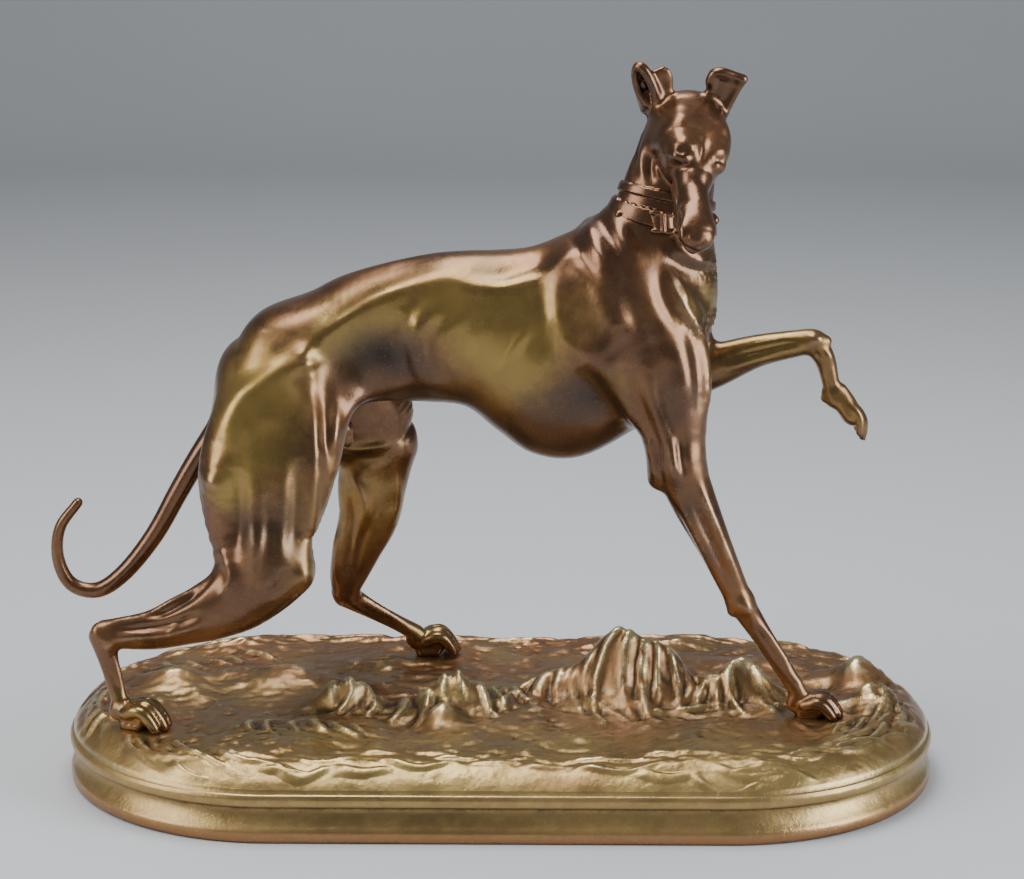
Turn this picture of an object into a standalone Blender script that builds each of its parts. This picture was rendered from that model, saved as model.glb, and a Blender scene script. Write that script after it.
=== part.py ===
"""Bronze whippet stepping over rough ground, on a moulded oval base.

Metres, +Z up. The origin is the centre of the base's underside. The dog walks
towards +X, lifts its far forepaw and turns its head to look along -Y.
"""
import math

import bmesh
import bpy
from mathutils import Vector

# Base: a moulded oval with rough ground on top, cast in one
BASE_LENGTH = 0.2295
BASE_DEPTH = 0.114
FOOT_HEIGHT = 0.0090
FOOT_EDGE = 0.0030
GROOVE_DEPTH = 0.0028
RIM_HEIGHT = 0.0038
BANK_RUN = 0.0080
GROUND_LEVEL = 0.0190
MOUND_HEIGHT = 0.0175
SWELL_HEIGHT = 0.0007

# Dog: one casting, which stands on three paws
WITHERS_HEIGHT = 0.124
SOLE_GAP = 0.0003
COLLAR_WIDTH = 0.0052
COLLAR_THICKNESS = 0.0007
COLLAR_PLACE = -0.1
PAW_CLEARING = 0.0075

# Fineness of the meshes
GROUND_COLUMNS = 42
GROUND_ROWS = 18
SPAN_STEPS = 4
RING_POINTS = 18
CAP_RINGS = 4
SKIN_CELL = 0.0009
SKIN_SMOOTHING = 3
DOG_TRIANGLES = 5400

# The pose is laid out in 124ths of the withers height, from a point on the
# ground between the paws: x forwards, y away, z up from the soles
UNIT = WITHERS_HEIGHT / 124.0
STANCE_BACK = 0.0009
ACROSS = Vector((0.0, 1.0, 0.0))
ALONG = Vector((1.0, 0.0, 0.0))

# Trunk: place, half width and half depth, from the rump to the breast
TRUNK = (
    ((-67, 2, 84), 10.5, 12.5), ((-61, 2, 87.5), 12.5, 14.5), ((-53, 2, 91), 13, 15.5),
    ((-42, 1, 96.5), 13.5, 16.8), ((-30, 0, 99.6), 12.5, 18), ((-18, 0, 100.8), 12.5, 19.4),
    ((-8, 0, 100.6), 13.5, 20.4), ((0, 0, 97.6), 15, 23.6), ((9, 0, 95), 16.8, 27.2),
    ((20, 0, 96.5), 17.5, 30), ((31, 0, 100.8), 17, 29.6), ((41, 0, 103), 13.5, 24),
    ((49, 0, 107), 9, 14.5),
)
TRUNK_END = 6.5
NECK = (
    ((36, 0, 109), 14, 17), ((40, 0, 121), 11.5, 16), ((42.6, 0, 132), 9.5, 12.6),
    ((45, 1.5, 143), 8.5, 10.8), ((46.2, 2, 151), 8, 9.3),
)
TAIL = (
    ((-63, 2, 85), 5, 5), ((-69.5, 0, 78), 3.6, 3.7), ((-77.5, -1, 67), 2.9, 2.9),
    ((-83.5, -1, 57), 2.7, 2.7), ((-90, -1, 45.5), 2.5, 2.5), ((-98, -1, 35.3), 2.3, 2.3),
    ((-105.5, -1, 30), 2.1, 2.1), ((-112.5, -1, 31.5), 1.9, 1.9), ((-115.8, -1, 38.5), 1.7, 1.7),
    ((-115, -1, 47), 1.5, 1.5), ((-110, -1, 54), 1.3, 1.3),
)

# Legs: joints of each, and the girths that both legs of a pair share
NEAR_HIND = {
    "thigh": ((-54, -9, 86), (-56, -13, 78), (-59, -16, 65), (-60, -18, 51), (-57, -20, 41)),
    "gaskin": ((-57, -20, 44), (-64, -21, 36), (-72, -21.5, 31.6), (-80, -22, 28.6),
               (-89, -22.5, 25.9), (-100.5, -23, 25)),
    "cannon": ((-101.5, -23, 24.5), (-99.8, -23.3, 17), (-97.8, -23.8, 9), (-95.8, -24.5, 4.5)),
    "paw": ((-96, -25, 3.5), (-90.5, -26, 4), (-86, -26.5, 3)),
}
FAR_HIND = {
    "thigh": ((-54, 12, 86), (-47, 15, 81), (-40, 18, 75), (-34, 20, 69), (-31, 21, 65)),
    "gaskin": ((-32, 21, 64), (-34, 21.5, 53), (-35, 22, 44), (-38.2, 23, 35),
               (-40.8, 24, 27), (-42, 25, 21.5)),
    "cannon": ((-41.8, 26, 20.3), (-35, 28.5, 15.3), (-28, 31, 10.7), (-22.5, 33, 7)),
    "paw": ((-21, 34, 5), (-16.5, 35, 4.3), (-13.5, 35.5, 3.3)),
}
HIND_GIRTHS = {
    "thigh": ((9, 12), (9.5, 17), (9, 17.3), (8, 14), (6.5, 9.5)),
    "gaskin": ((6.6, 10), (6.2, 9.3), (5.4, 8.2), (4.4, 6.7), (3.5, 5.2), (2.8, 3.7)),
    "cannon": ((3, 3.5), (2.2, 2.5), (2.1, 2.2), (2.7, 2.6)),
    "paw": ((3.3, 3.1), (4.8, 4.1), (4, 3)),
}
NEAR_FORE = {
    "shoulder": ((26, -8, 116.5), (35, -11, 103), (42, -12, 91), (45, -13, 79), (46, -14, 68)),
    "forearm": ((46.5, -14, 69), (51, -14, 58), (57.3, -13.5, 44.5), (63.2, -13, 31.5)),
    "cannon": ((63.5, -13, 31), (69.6, -13, 21.5), (77, -13, 10), (79.4, -13.5, 6.5)),
    "paw": ((79.5, -13.8, 5), (84, -14.2, 4), (87.5, -14.6, 3)),
}
FAR_FORE = {
    "shoulder": ((26, 8, 116.5), (38, 11, 103), (45, 11, 92), (47, 11, 86), (47.5, 11, 82)),
    "forearm": ((47.5, 10, 85.5), (57, 9, 89), (68, 8, 93.2), (80, 7, 95.8)),
    "cannon": ((82.8, 7, 95.2), (85.6, 7, 91), (87.6, 7, 84), (88.5, 7, 79.8)),
    "paw": ((88.6, 7, 79.2), (91.6, 7, 75), (94, 7, 71)),
}
FORE_GIRTHS = {
    "shoulder": ((6, 9), (7.5, 13), (7.5, 12.5), (6.5, 9), (5.5, 7)),
    "forearm": ((5.3, 6.6), (4.6, 5.8), (3.8, 4.3), (3.2, 3.4)),
    "cannon": ((3.3, 3.5), (2.6, 2.7), (2.4, 2.4), (2.7, 2.6)),
    "paw": ((3.3, 2.9), (4.3, 3.6), (3.6, 2.6)),
}
FAR_PAW_SLIMNESS = 0.82
ELBOW_POINT = ((44, -13, 65), (39.8, -13, 62.5))
ELBOW_GIRTHS = ((2.8, 2.8), (1.7, 1.7))
FLANK_FOLD = ((-41.5, -9, 85), (-43, -13, 78), (-45.5, -15.5, 69))
FLANK_FOLD_GIRTHS = ((3.5, 5.5), (3, 4.5), (2.5, 3.5))

# Head: its own axes start at the middle of the skull, the long one to the nose
HEAD_CENTRE = (47.6, -4, 150.3)
HEAD_TURN = math.radians(3.5)
HEAD_DIP = math.radians(32.0)
SKULL = (
    (-8, 0.8, 9, 6.6), (0, 0.3, 10.2, 8.3), (8, -0.8, 9.6, 7.8), (13, -1.6, 7.4, 7),
    (18, -2.4, 5.2, 6), (26, -3.2, 4.4, 5), (32, -3.6, 4.6, 4.3), (34.3, -3.6, 4.2, 3.6),
)
BROW = ((9, 5.4, 4.2), (12.5, 4.8, 3.6))
BROW_ROUND = 2.4
NEAR_EAR = (
    ((41.5, 3, 156), (38, 2, 162), (35, 2, 167)),
    ((41.5, 3, 156), (40.6, 1, 161), (42.3, -1, 165)),
)
FAR_EAR = (
    ((54.8, 3, 155.5), (56, 2, 161), (57.2, 1, 165.5)),
    ((54.8, 3, 155.5), (58.2, 2, 161), (61, 1, 165.5)),
)
EAR_GIRTHS = ((2.6, 2.0), (2.9, 1.5), (2.4, 1.3))

# Ground relief, in 230ths of the base's length: place, height as a share of
# the crest's, reach along x, reach towards the front and towards the back
MOUNDS = (
    ((32, 3), 1.0, 9.0, 10.0, 4.5), ((45, 4), 0.62, 7.0, 8.0, 5.0),
    ((64, -1), 0.62, 9.0, 4.5, 5.0),
    ((16, 0), 0.30, 8.0, 5.0, 5.0), ((-12, -9), 0.50, 8.0, 5.5, 5.0),
    ((-41, -9), 0.42, 9.0, 4.5, 4.5), ((-15, -20), 0.28, 4.5, 3.5, 3.5),
    ((-60, 12), 0.22, 16.0, 9.0, 9.0), ((97, 14), 0.42, 6.0, 6.0, 6.0),
    ((98, -6), 0.36, 6.0, 6.0, 6.0), ((66, 24), 0.12, 22.0, 9.0, 8.0),
    ((-88, 8), 0.20, 9.0, 9.0, 9.0),
)


def clear_scene():
    """Remove whatever the scene holds."""
    for item in list(bpy.data.objects):
        bpy.data.objects.remove(item, do_unlink=True)


def bronze(name, colour, roughness):
    """A patinated bronze of one colour."""
    material = bpy.data.materials.new(name)
    material.use_nodes = True
    shader = material.node_tree.nodes["Principled BSDF"]
    shader.inputs["Base Color"].default_value = (*colour, 1.0)
    shader.inputs["Metallic"].default_value = 0.9
    shader.inputs["Roughness"].default_value = roughness
    return material


def place(point):
    """A point of the pose, in metres."""
    return Vector(point) * UNIT + Vector((-STANCE_BACK, 0.0, GROUND_LEVEL))


def smooth_rows(rows, steps):
    """Rows of equal length, with steps points of a smooth curve in each span."""
    rows = [list(row) for row in rows]
    first = [2 * a - b for a, b in zip(rows[0], rows[1])]
    last = [2 * a - b for a, b in zip(rows[-1], rows[-2])]
    padded = [first] + rows + [last]
    curve = []
    for i in range(1, len(padded) - 2):
        for step in range(steps):
            t = step / steps
            curve.append([
                0.5 * (2 * b + (c - a) * t + (2 * a - 5 * b + 4 * c - d) * t * t
                       + (3 * b - a - 3 * c + d) * t ** 3)
                for a, b, c, d in zip(*padded[i - 1:i + 3])
            ])
    curve.append(rows[-1])
    return curve


def swept(mesh, points, girths, lateral, cap=None, upright=False):
    """Add a closed tube through points, with an elliptical section at each.

    A girth is a half width along lateral and a half depth square to it. The
    ends are rounded, by the smaller of the two unless cap gives their reach.
    Upright sections stand square to the x axis, whatever way the tube runs.
    """
    rows = [(*point, *girth) for point, girth in zip(points, girths)]
    rows = smooth_rows(rows, SPAN_STEPS)
    centres = [Vector(row[:3]) for row in rows]
    sections = []
    for i, row in enumerate(rows):
        tangent = centres[min(i + 1, len(rows) - 1)] - centres[max(i - 1, 0)]
        tangent = ALONG.copy() if upright else tangent.normalized()
        side = (lateral - tangent * lateral.dot(tangent)).normalized()
        sections.append((centres[i], tangent, side, tangent.cross(side), row[3], row[4]))
    rounded = []
    for place_in_row, sign in ((0, -1), (-1, 1)):
        centre, tangent, side, up, width, depth = sections[place_in_row]
        reach = cap if cap is not None else min(width, depth)
        end = []
        for ring in range(1, CAP_RINGS):
            angle = 0.5 * math.pi * ring / CAP_RINGS
            shrink = math.cos(angle)
            moved = centre + tangent * (sign * reach * math.sin(angle))
            end.append((moved, tangent, side, up, width * shrink, depth * shrink))
        tip = centre + tangent * (sign * reach)
        rounded.append((end, tip))
    (start, start_tip), (finish, finish_tip) = rounded
    rings = []
    for centre, _, side, up, width, depth in start[::-1] + sections + finish:
        ring = []
        for k in range(RING_POINTS):
            angle = 2 * math.pi * k / RING_POINTS
            offset = side * (width * math.cos(angle)) + up * (depth * math.sin(angle))
            ring.append(mesh.verts.new(centre + offset))
        rings.append(ring)
    for lower, upper in zip(rings, rings[1:]):
        for k in range(RING_POINTS):
            after = (k + 1) % RING_POINTS
            mesh.faces.new((lower[k], lower[after], upper[after], upper[k]))
    for ring, tip, flip in ((rings[0], start_tip, True), (rings[-1], finish_tip, False)):
        point = mesh.verts.new(tip)
        for k in range(RING_POINTS):
            corners = (ring[k], ring[(k + 1) % RING_POINTS], point)
            mesh.faces.new(corners[::-1] if flip else corners)


def posed(mesh, points, girths, lateral=ACROSS, cap=None, upright=False):
    """Add a tube whose points and girths are laid out in the pose's units."""
    sizes = [(width * UNIT, depth * UNIT) for width, depth in girths]
    reach = None if cap is None else cap * UNIT
    swept(mesh, [place(point) for point in points], sizes, lateral, reach, upright)


def add_trunk(mesh):
    """Rump to breast, the neck and the tail."""
    for stations, cap in ((TRUNK, TRUNK_END), (NECK, None), (TAIL, None)):
        points = [station[0] for station in stations]
        girths = [station[1:] for station in stations]
        posed(mesh, points, girths, cap=cap, upright=stations is TRUNK)


def add_collar(mesh):
    """A plain strap around the middle of the neck."""
    low, high = Vector(NECK[2][0]), Vector(NECK[3][0])
    axis = (high - low).normalized()
    half = 0.5 * COLLAR_WIDTH / UNIT
    width, depth = NECK[2][1:]
    girth = (width + COLLAR_THICKNESS / UNIT, depth + COLLAR_THICKNESS / UNIT)
    middle = low.lerp(high, COLLAR_PLACE)
    posed(mesh, (middle - axis * half, middle + axis * half), (girth, girth), cap=1.0)


def add_leg(mesh, joints, girths, slimness=1.0):
    """One leg, from its top to its paw."""
    for name, points in joints.items():
        share = slimness if name == "paw" else 1.0
        posed(mesh, points, [(w * share, d * share) for w, d in girths[name]])


def add_head(mesh):
    """Skull, muzzle, brows and the folded ears, in the head's own axes."""
    level = math.cos(HEAD_DIP)
    nose = Vector((math.sin(HEAD_TURN) * level, -math.cos(HEAD_TURN) * level, -math.sin(HEAD_DIP)))
    side = nose.cross(Vector((0.0, 0.0, 1.0))).normalized()
    crown = side.cross(nose)
    centre = Vector(HEAD_CENTRE)
    points = [centre + nose * row[0] + crown * row[1] for row in SKULL]
    posed(mesh, points, [row[2:] for row in SKULL], side)
    for sign in (-1, 1):
        points = [centre + nose * a + side * (sign * b) + crown * c for a, b, c in BROW]
        posed(mesh, points, ((BROW_ROUND, BROW_ROUND),) * 2, side)
    for ear in (NEAR_EAR, FAR_EAR):
        for points in ear:
            posed(mesh, points, EAR_GIRTHS, ALONG)


def face_count(item):
    """How many triangles the object has, as its modifiers leave it."""
    evaluated = item.evaluated_get(bpy.context.evaluated_depsgraph_get())
    return sum(len(face.vertices) - 2 for face in evaluated.data.polygons)


def add_block(name, low, high):
    """A hidden block that cuts, between two corners."""
    mesh = bmesh.new()
    bmesh.ops.create_cube(mesh, size=1.0)
    size = Vector(high) - Vector(low)
    bmesh.ops.scale(mesh, vec=size, verts=mesh.verts)
    bmesh.ops.translate(mesh, vec=(Vector(low) + Vector(high)) / 2, verts=mesh.verts)
    block = new_object(name, mesh)
    block.hide_render = True
    block.display_type = 'WIRE'
    return block


def new_object(name, mesh):
    """Put a finished mesh into the scene as an object."""
    data = bpy.data.meshes.new(name)
    mesh.to_mesh(data)
    mesh.free()
    item = bpy.data.objects.new(name, data)
    bpy.context.scene.collection.objects.link(item)
    return item


def make_whippet():
    """The dog and its collar: overlapping forms, fused into one skin."""
    mesh = bmesh.new()
    add_trunk(mesh)
    add_collar(mesh)
    add_leg(mesh, NEAR_HIND, HIND_GIRTHS)
    add_leg(mesh, FAR_HIND, HIND_GIRTHS)
    add_leg(mesh, NEAR_FORE, FORE_GIRTHS)
    add_leg(mesh, FAR_FORE, FORE_GIRTHS, FAR_PAW_SLIMNESS)
    posed(mesh, ELBOW_POINT, ELBOW_GIRTHS)
    posed(mesh, FLANK_FOLD, FLANK_FOLD_GIRTHS)
    add_head(mesh)
    dog = new_object("whippet", mesh)
    skin = dog.modifiers.new("skin", 'REMESH')
    skin.mode = 'VOXEL'
    skin.voxel_size = SKIN_CELL
    skin.use_smooth_shade = True
    fillets = dog.modifiers.new("fillets", 'SMOOTH')
    fillets.factor = 0.5
    fillets.iterations = SKIN_SMOOTHING
    facets = dog.modifiers.new("facets", 'DECIMATE')
    facets.ratio = min(1.0, DOG_TRIANGLES / face_count(dog))
    below = add_block(
        "below the soles",
        (-BASE_LENGTH, -BASE_DEPTH, -GROUND_LEVEL),
        (BASE_LENGTH, BASE_DEPTH, GROUND_LEVEL + SOLE_GAP),
    )
    soles = dog.modifiers.new("soles", 'BOOLEAN')
    soles.operation = 'DIFFERENCE'
    soles.object = below
    dog.data.materials.append(bronze("dark bronze", (0.20, 0.11, 0.055), 0.32))
    return dog


def oval_point(u, v, inset):
    """A point of the oval plan, u and v from -1 to 1, its outline set in by inset."""
    radius = 0.5 * BASE_DEPTH - inset
    straight = 0.5 * (BASE_LENGTH - BASE_DEPTH)
    angle = 0.5 * math.pi * v
    return u * (straight + radius * math.cos(angle)), radius * math.sin(angle)


def paw_clearance(x, y):
    """0 under a paw that stands on the ground, 1 away from the paws."""
    nearest = min(
        math.dist((x, y), place(point)[:2])
        for leg in (NEAR_HIND, FAR_HIND, NEAR_FORE) for point in leg["paw"]
    )
    share = min(1.0, max(0.0, nearest / PAW_CLEARING - 1.0))
    return share * share * (3.0 - 2.0 * share)


def ground_height(x, y):
    """Height of the rough ground at a place of the plan."""
    unit = BASE_LENGTH / 230.0
    across, along = x / unit, y / unit
    rise = SWELL_HEIGHT * math.sin(0.052 * across + 1.0) * math.cos(0.075 * along)
    rise += 0.6 * SWELL_HEIGHT * math.sin(0.11 * across - 0.06 * along)
    for (middle, depth), share, reach, front, back in MOUNDS:
        lean = front if along < depth else back
        spread = ((across - middle) / reach) ** 2 + ((along - depth) / lean) ** 2
        rise += MOUND_HEIGHT * share * math.exp(-spread)
    return GROUND_LEVEL + rise * paw_clearance(x, y)


def base_profile():
    """Insets and heights of the moulding, from the ground's bank to the underside."""
    rim_top = FOOT_HEIGHT + RIM_HEIGHT
    bank = GROUND_LEVEL - rim_top
    rows = [(BANK_RUN * (1.0 - s), rim_top + bank * (1.0 - s ** 1.6)) for s in (0.35, 0.7, 0.93)]
    for step in range(4):
        angle = math.pi * (0.85 - 0.75 * step / 3)
        rows.append((GROOVE_DEPTH * 0.5 * (1.0 - math.sin(angle)),
                     FOOT_HEIGHT + 0.5 * RIM_HEIGHT * (1.0 - math.cos(angle))))
    for step in range(4):
        share = step / 3
        rows.append((GROOVE_DEPTH * (1.0 - share) ** 2,
                     FOOT_HEIGHT - (FOOT_HEIGHT - FOOT_EDGE) * share))
    rows.append((0.0, 0.0))
    return rows


def make_base():
    """The ground as a grid over the oval, then the moulding in rings below it."""
    mesh = bmesh.new()
    grid = {}
    for i in range(GROUND_COLUMNS + 1):
        for j in range(GROUND_ROWS + 1):
            u = 2.0 * i / GROUND_COLUMNS - 1.0
            v = 2.0 * j / GROUND_ROWS - 1.0
            x, y = oval_point(u, v, BANK_RUN)
            grid[i, j] = mesh.verts.new((x, y, ground_height(x, y)))
    for i in range(GROUND_COLUMNS):
        for j in range(GROUND_ROWS):
            mesh.faces.new((grid[i, j], grid[i + 1, j], grid[i + 1, j + 1], grid[i, j + 1]))
    edge = [(i, 0) for i in range(GROUND_COLUMNS)]
    edge += [(GROUND_COLUMNS, j) for j in range(GROUND_ROWS)]
    edge += [(i, GROUND_ROWS) for i in range(GROUND_COLUMNS, 0, -1)]
    edge += [(0, j) for j in range(GROUND_ROWS, 0, -1)]
    upper = [grid[key] for key in edge]
    for inset, height in base_profile():
        lower = []
        for i, j in edge:
            x, y = oval_point(2.0 * i / GROUND_COLUMNS - 1.0, 2.0 * j / GROUND_ROWS - 1.0, inset)
            lower.append(mesh.verts.new((x, y, height)))
        for k in range(len(edge)):
            after = (k + 1) % len(edge)
            mesh.faces.new((upper[after], upper[k], lower[k], lower[after]))
        upper = lower
    mesh.faces.new(upper[::-1])
    base = new_object("base", mesh)
    base.data.shade_smooth()
    base.data.set_sharp_from_angle(angle=math.radians(40.0))
    base.data.materials.append(bronze("light bronze", (0.30, 0.19, 0.08), 0.38))
    return base


clear_scene()
make_base()
make_whippet()
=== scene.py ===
"""The looks of a bronze whippet on its moulded oval base.

The dog is sculpted as blended swept forms with strokes drawn over them, and the
base as a ground of mounds, tufts and strands over a turned moulding. The pose is
laid out in units of a 124th of the withers height, near a millimetre: x forwards,
y away and z up from the soles. Everything else is in metres.
"""

import logging
import math
from dataclasses import dataclass
from enum import Enum
from functools import cached_property

import bpy
import numpy as np
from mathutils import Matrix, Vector


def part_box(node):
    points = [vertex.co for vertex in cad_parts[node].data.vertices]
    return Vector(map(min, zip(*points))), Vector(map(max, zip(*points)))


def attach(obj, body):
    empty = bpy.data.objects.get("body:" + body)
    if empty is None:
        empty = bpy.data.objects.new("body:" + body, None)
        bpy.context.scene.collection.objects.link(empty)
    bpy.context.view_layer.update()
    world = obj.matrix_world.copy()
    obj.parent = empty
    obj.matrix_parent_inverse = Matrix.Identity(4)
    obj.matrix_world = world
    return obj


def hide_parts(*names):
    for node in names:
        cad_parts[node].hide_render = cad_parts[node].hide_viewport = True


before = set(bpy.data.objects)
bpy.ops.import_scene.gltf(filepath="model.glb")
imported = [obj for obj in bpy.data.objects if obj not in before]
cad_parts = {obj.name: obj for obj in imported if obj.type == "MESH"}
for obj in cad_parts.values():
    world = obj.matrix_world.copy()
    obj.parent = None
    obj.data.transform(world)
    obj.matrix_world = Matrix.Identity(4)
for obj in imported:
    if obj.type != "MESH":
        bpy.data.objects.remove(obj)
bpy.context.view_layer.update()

Array = np.ndarray
Span = Place = tuple[float, float]
Point = tuple[float, float, float]
Station = tuple[float, float, float, float, float]
Colour = tuple[float, float, float]
Piece = bpy.types.Object
Socket = bpy.types.NodeSocket

log = logging.getLogger("whippet")

FAR = 50.0
MILLIMETRE = 0.001


class Side(Enum):
    """Where a stroke is drawn from: its two axes, the axis looked along, and the way."""

    NEAR = (0, 2, 1, -1.0)
    OFF = (0, 2, 1, 1.0)
    FRONT = (1, 2, 0, 1.0)
    ABOVE = (0, 1, 2, 1.0)

    @property
    def axes(self) -> list[int]:
        """The two axes that a stroke's points are given in."""
        return list(self.value[:2])

    @property
    def depth(self) -> int:
        """The axis that the stroke is looked at along."""
        return self.value[2]

    @property
    def sign(self) -> float:
        """Which way the skin has to face to take the stroke."""
        return self.value[3]


def smooth_rows(rows: Array, steps: int) -> Array:
    """Join rows of numbers by a smooth curve.

    Args:
        rows: The rows that the curve passes through.
        steps: How many points each span gets.

    Returns:
        The points of the curve, the last row included.
    """
    padded = np.vstack([2 * rows[:1] - rows[1:2], rows, 2 * rows[-1:] - rows[-2:-1]])
    share = (np.arange(steps) / steps)[:, None]
    spans = []
    for before, start, end, after in zip(padded, padded[1:], padded[2:], padded[3:]):
        spans.append(0.5 * (
            2 * start + (end - before) * share
            + (2 * before - 5 * start + 4 * end - after) * share ** 2
            + (3 * start - before - 3 * end + after) * share ** 3
        ))
    return np.vstack([*spans, rows[-1:]])


def soft_min(first: Array, second: Array, blend: float) -> Array:
    """The smaller of two distances, with a fillet as wide as blend where they are alike."""
    reach = np.maximum(blend - np.abs(first - second), 0.0) / blend
    return np.minimum(first, second) - 0.25 * blend * reach ** 2


def ease(values: Array, low: float, high: float) -> Array:
    """A smooth step of values, which leaves 0 at low and has come to 1 at high."""
    share = np.clip((values - low) / (high - low), 0.0, 1.0)
    return share * share * (3.0 - 2.0 * share)


def nearest_on_line(points: Array, line: Array) -> tuple[Array, Array]:
    """Find the nearest place of a polyline to each point.

    Args:
        points: The points, in as many axes as the line has.
        line: The corners of the polyline.

    Returns:
        The place, as a corner's number with the share of the span after it,
        and the distance to it.
    """
    best = np.full(len(points), np.inf)
    place = np.zeros(len(points))
    for index, (start, end) in enumerate(zip(line, line[1:])):
        span = end - start
        offset = points - start
        share = np.clip(offset @ span / max(span @ span, 1e-12), 0.0, 1.0)
        gap = offset - share[:, None] * span
        away = np.einsum("ij,ij->i", gap, gap)
        closer = away < best
        best[closer] = away[closer]
        place[closer] = index + share[closer]
    return place, np.sqrt(best)


@dataclass(frozen=True)
class Axes:
    """Axes of a part of the pose: an origin, and three directions square to each other."""

    origin: Point = (0.0, 0.0, 0.0)
    first: Point = (1.0, 0.0, 0.0)
    second: Point = (0.0, 1.0, 0.0)
    third: Point = (0.0, 0.0, 1.0)

    @cached_property
    def matrix(self) -> Array:
        """The directions as rows."""
        return np.array([self.first, self.second, self.third], float)

    def out(self, points: Array) -> Array:
        """Points of these axes, in the pose's own."""
        return np.asarray(points, float) @ self.matrix + np.array(self.origin)

    def into(self, points: Array) -> Array:
        """Points of the pose, in these axes."""
        return (points - np.array(self.origin)) @ self.matrix.T


@dataclass(frozen=True)
class Form:
    """A swept oval of clay, of stations (x, y, z, half width, half depth).

    The width lies along lateral. An upright form's sections stand square to
    the x axis, keel narrows them downwards, and cap is the reach of the ends.
    """

    stations: tuple[Station, ...]
    blend: float = 3.0
    lateral: Point = (0.0, 1.0, 0.0)
    upright: bool = False
    keel: float = 0.0
    cap: float = 0.0

    SPAN_STEPS = 5

    @cached_property
    def line(self) -> Array:
        """The stations joined by a smooth curve."""
        return smooth_rows(np.array(self.stations, float), self.SPAN_STEPS)

    @cached_property
    def tangents(self) -> Array:
        """The direction of the line at each of its points.

        Returns:
            A row of length 1 for each point.
        """
        if self.upright:
            return np.tile((1.0, 0.0, 0.0), (len(self.line), 1))
        runs = np.gradient(self.line[:, :3], axis=0)
        return runs / np.linalg.norm(runs, axis=1, keepdims=True)

    def box(self, margin: float) -> tuple[Array, Array]:
        """The lowest and the highest corner of a box around the form, with a margin."""
        reach = self.line[:, 3:5].max(axis=1, keepdims=True) + margin
        return (self.line[:, :3] - reach).min(axis=0), (self.line[:, :3] + reach).max(axis=0)

    def distance(self, points: Array) -> Array:
        """Measure how far points are from the form's surface.

        Args:
            points: Points of the pose.

        Returns:
            The distances, negative inside.
        """
        line = self.line
        if self.upright:
            place = np.interp(points[:, 0], line[:, 0], np.arange(len(line)))
        else:
            place, _ = nearest_on_line(points, line[:, :3])
        before = np.minimum(place.astype(int), len(line) - 2)
        share = (place - before)[:, None]
        row = line[before] * (1 - share) + line[before + 1] * share
        tangent = self.tangents[before] * (1 - share) + self.tangents[before + 1] * share
        tangent /= np.linalg.norm(tangent, axis=1, keepdims=True)
        lateral = np.array(self.lateral, float)
        side = lateral - tangent * (tangent @ lateral)[:, None]
        side /= np.linalg.norm(side, axis=1, keepdims=True)
        gap = points - row[:, :3]
        rise = np.einsum("ij,ij->i", gap, np.cross(tangent, side)) / row[:, 4]
        width = row[:, 3] * (1.0 + self.keel * np.clip(rise, -1.0, 1.0))
        run = self.cap if self.cap else np.minimum(row[:, 3], row[:, 4])
        shape = np.sqrt(
            (np.einsum("ij,ij->i", gap, side) / width) ** 2 + rise ** 2
            + (np.einsum("ij,ij->i", gap, tangent) / run) ** 2
        )
        away = np.linalg.norm(gap, axis=1)
        return away - away / np.maximum(shape, 1e-6)


@dataclass(frozen=True)
class Limb:
    """Forms that are blended among themselves first, and with the rest after that."""

    name: str
    forms: tuple[Form, ...]
    blend: float = 3.0

    def distance(self, points: Array) -> Array:
        """Measure how far points are from the limb.

        Args:
            points: Points of the pose.

        Returns:
            The distances, negative inside, and FAR away from it.
        """
        total = np.full(len(points), FAR)
        for form in self.forms:
            low, high = form.box(form.blend + Clay.MARGIN)
            near = np.flatnonzero(((points > low) & (points < high)).all(axis=1))
            if len(near) == 0:
                continue
            total[near] = soft_min(total[near], form.distance(points[near]), form.blend)
        return total


@dataclass(frozen=True)
class Clay:
    """All the limbs, blended into one body."""

    limbs: tuple[Limb, ...]

    MARGIN = 3.5

    def box(self, margin: float) -> tuple[Array, Array]:
        """The lowest and the highest corner of a box around the body, with a margin."""
        lows, highs = zip(*(form.box(margin) for limb in self.limbs for form in limb.forms))
        return np.min(lows, axis=0), np.max(highs, axis=0)

    def distance(self, points: Array) -> Array:
        """Measure how far points are from the body's surface.

        Args:
            points: Points of the pose.

        Returns:
            The distances, negative inside.
        """
        total = np.full(len(points), FAR)
        for limb in self.limbs:
            total = soft_min(total, limb.distance(points), limb.blend)
        return total


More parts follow.
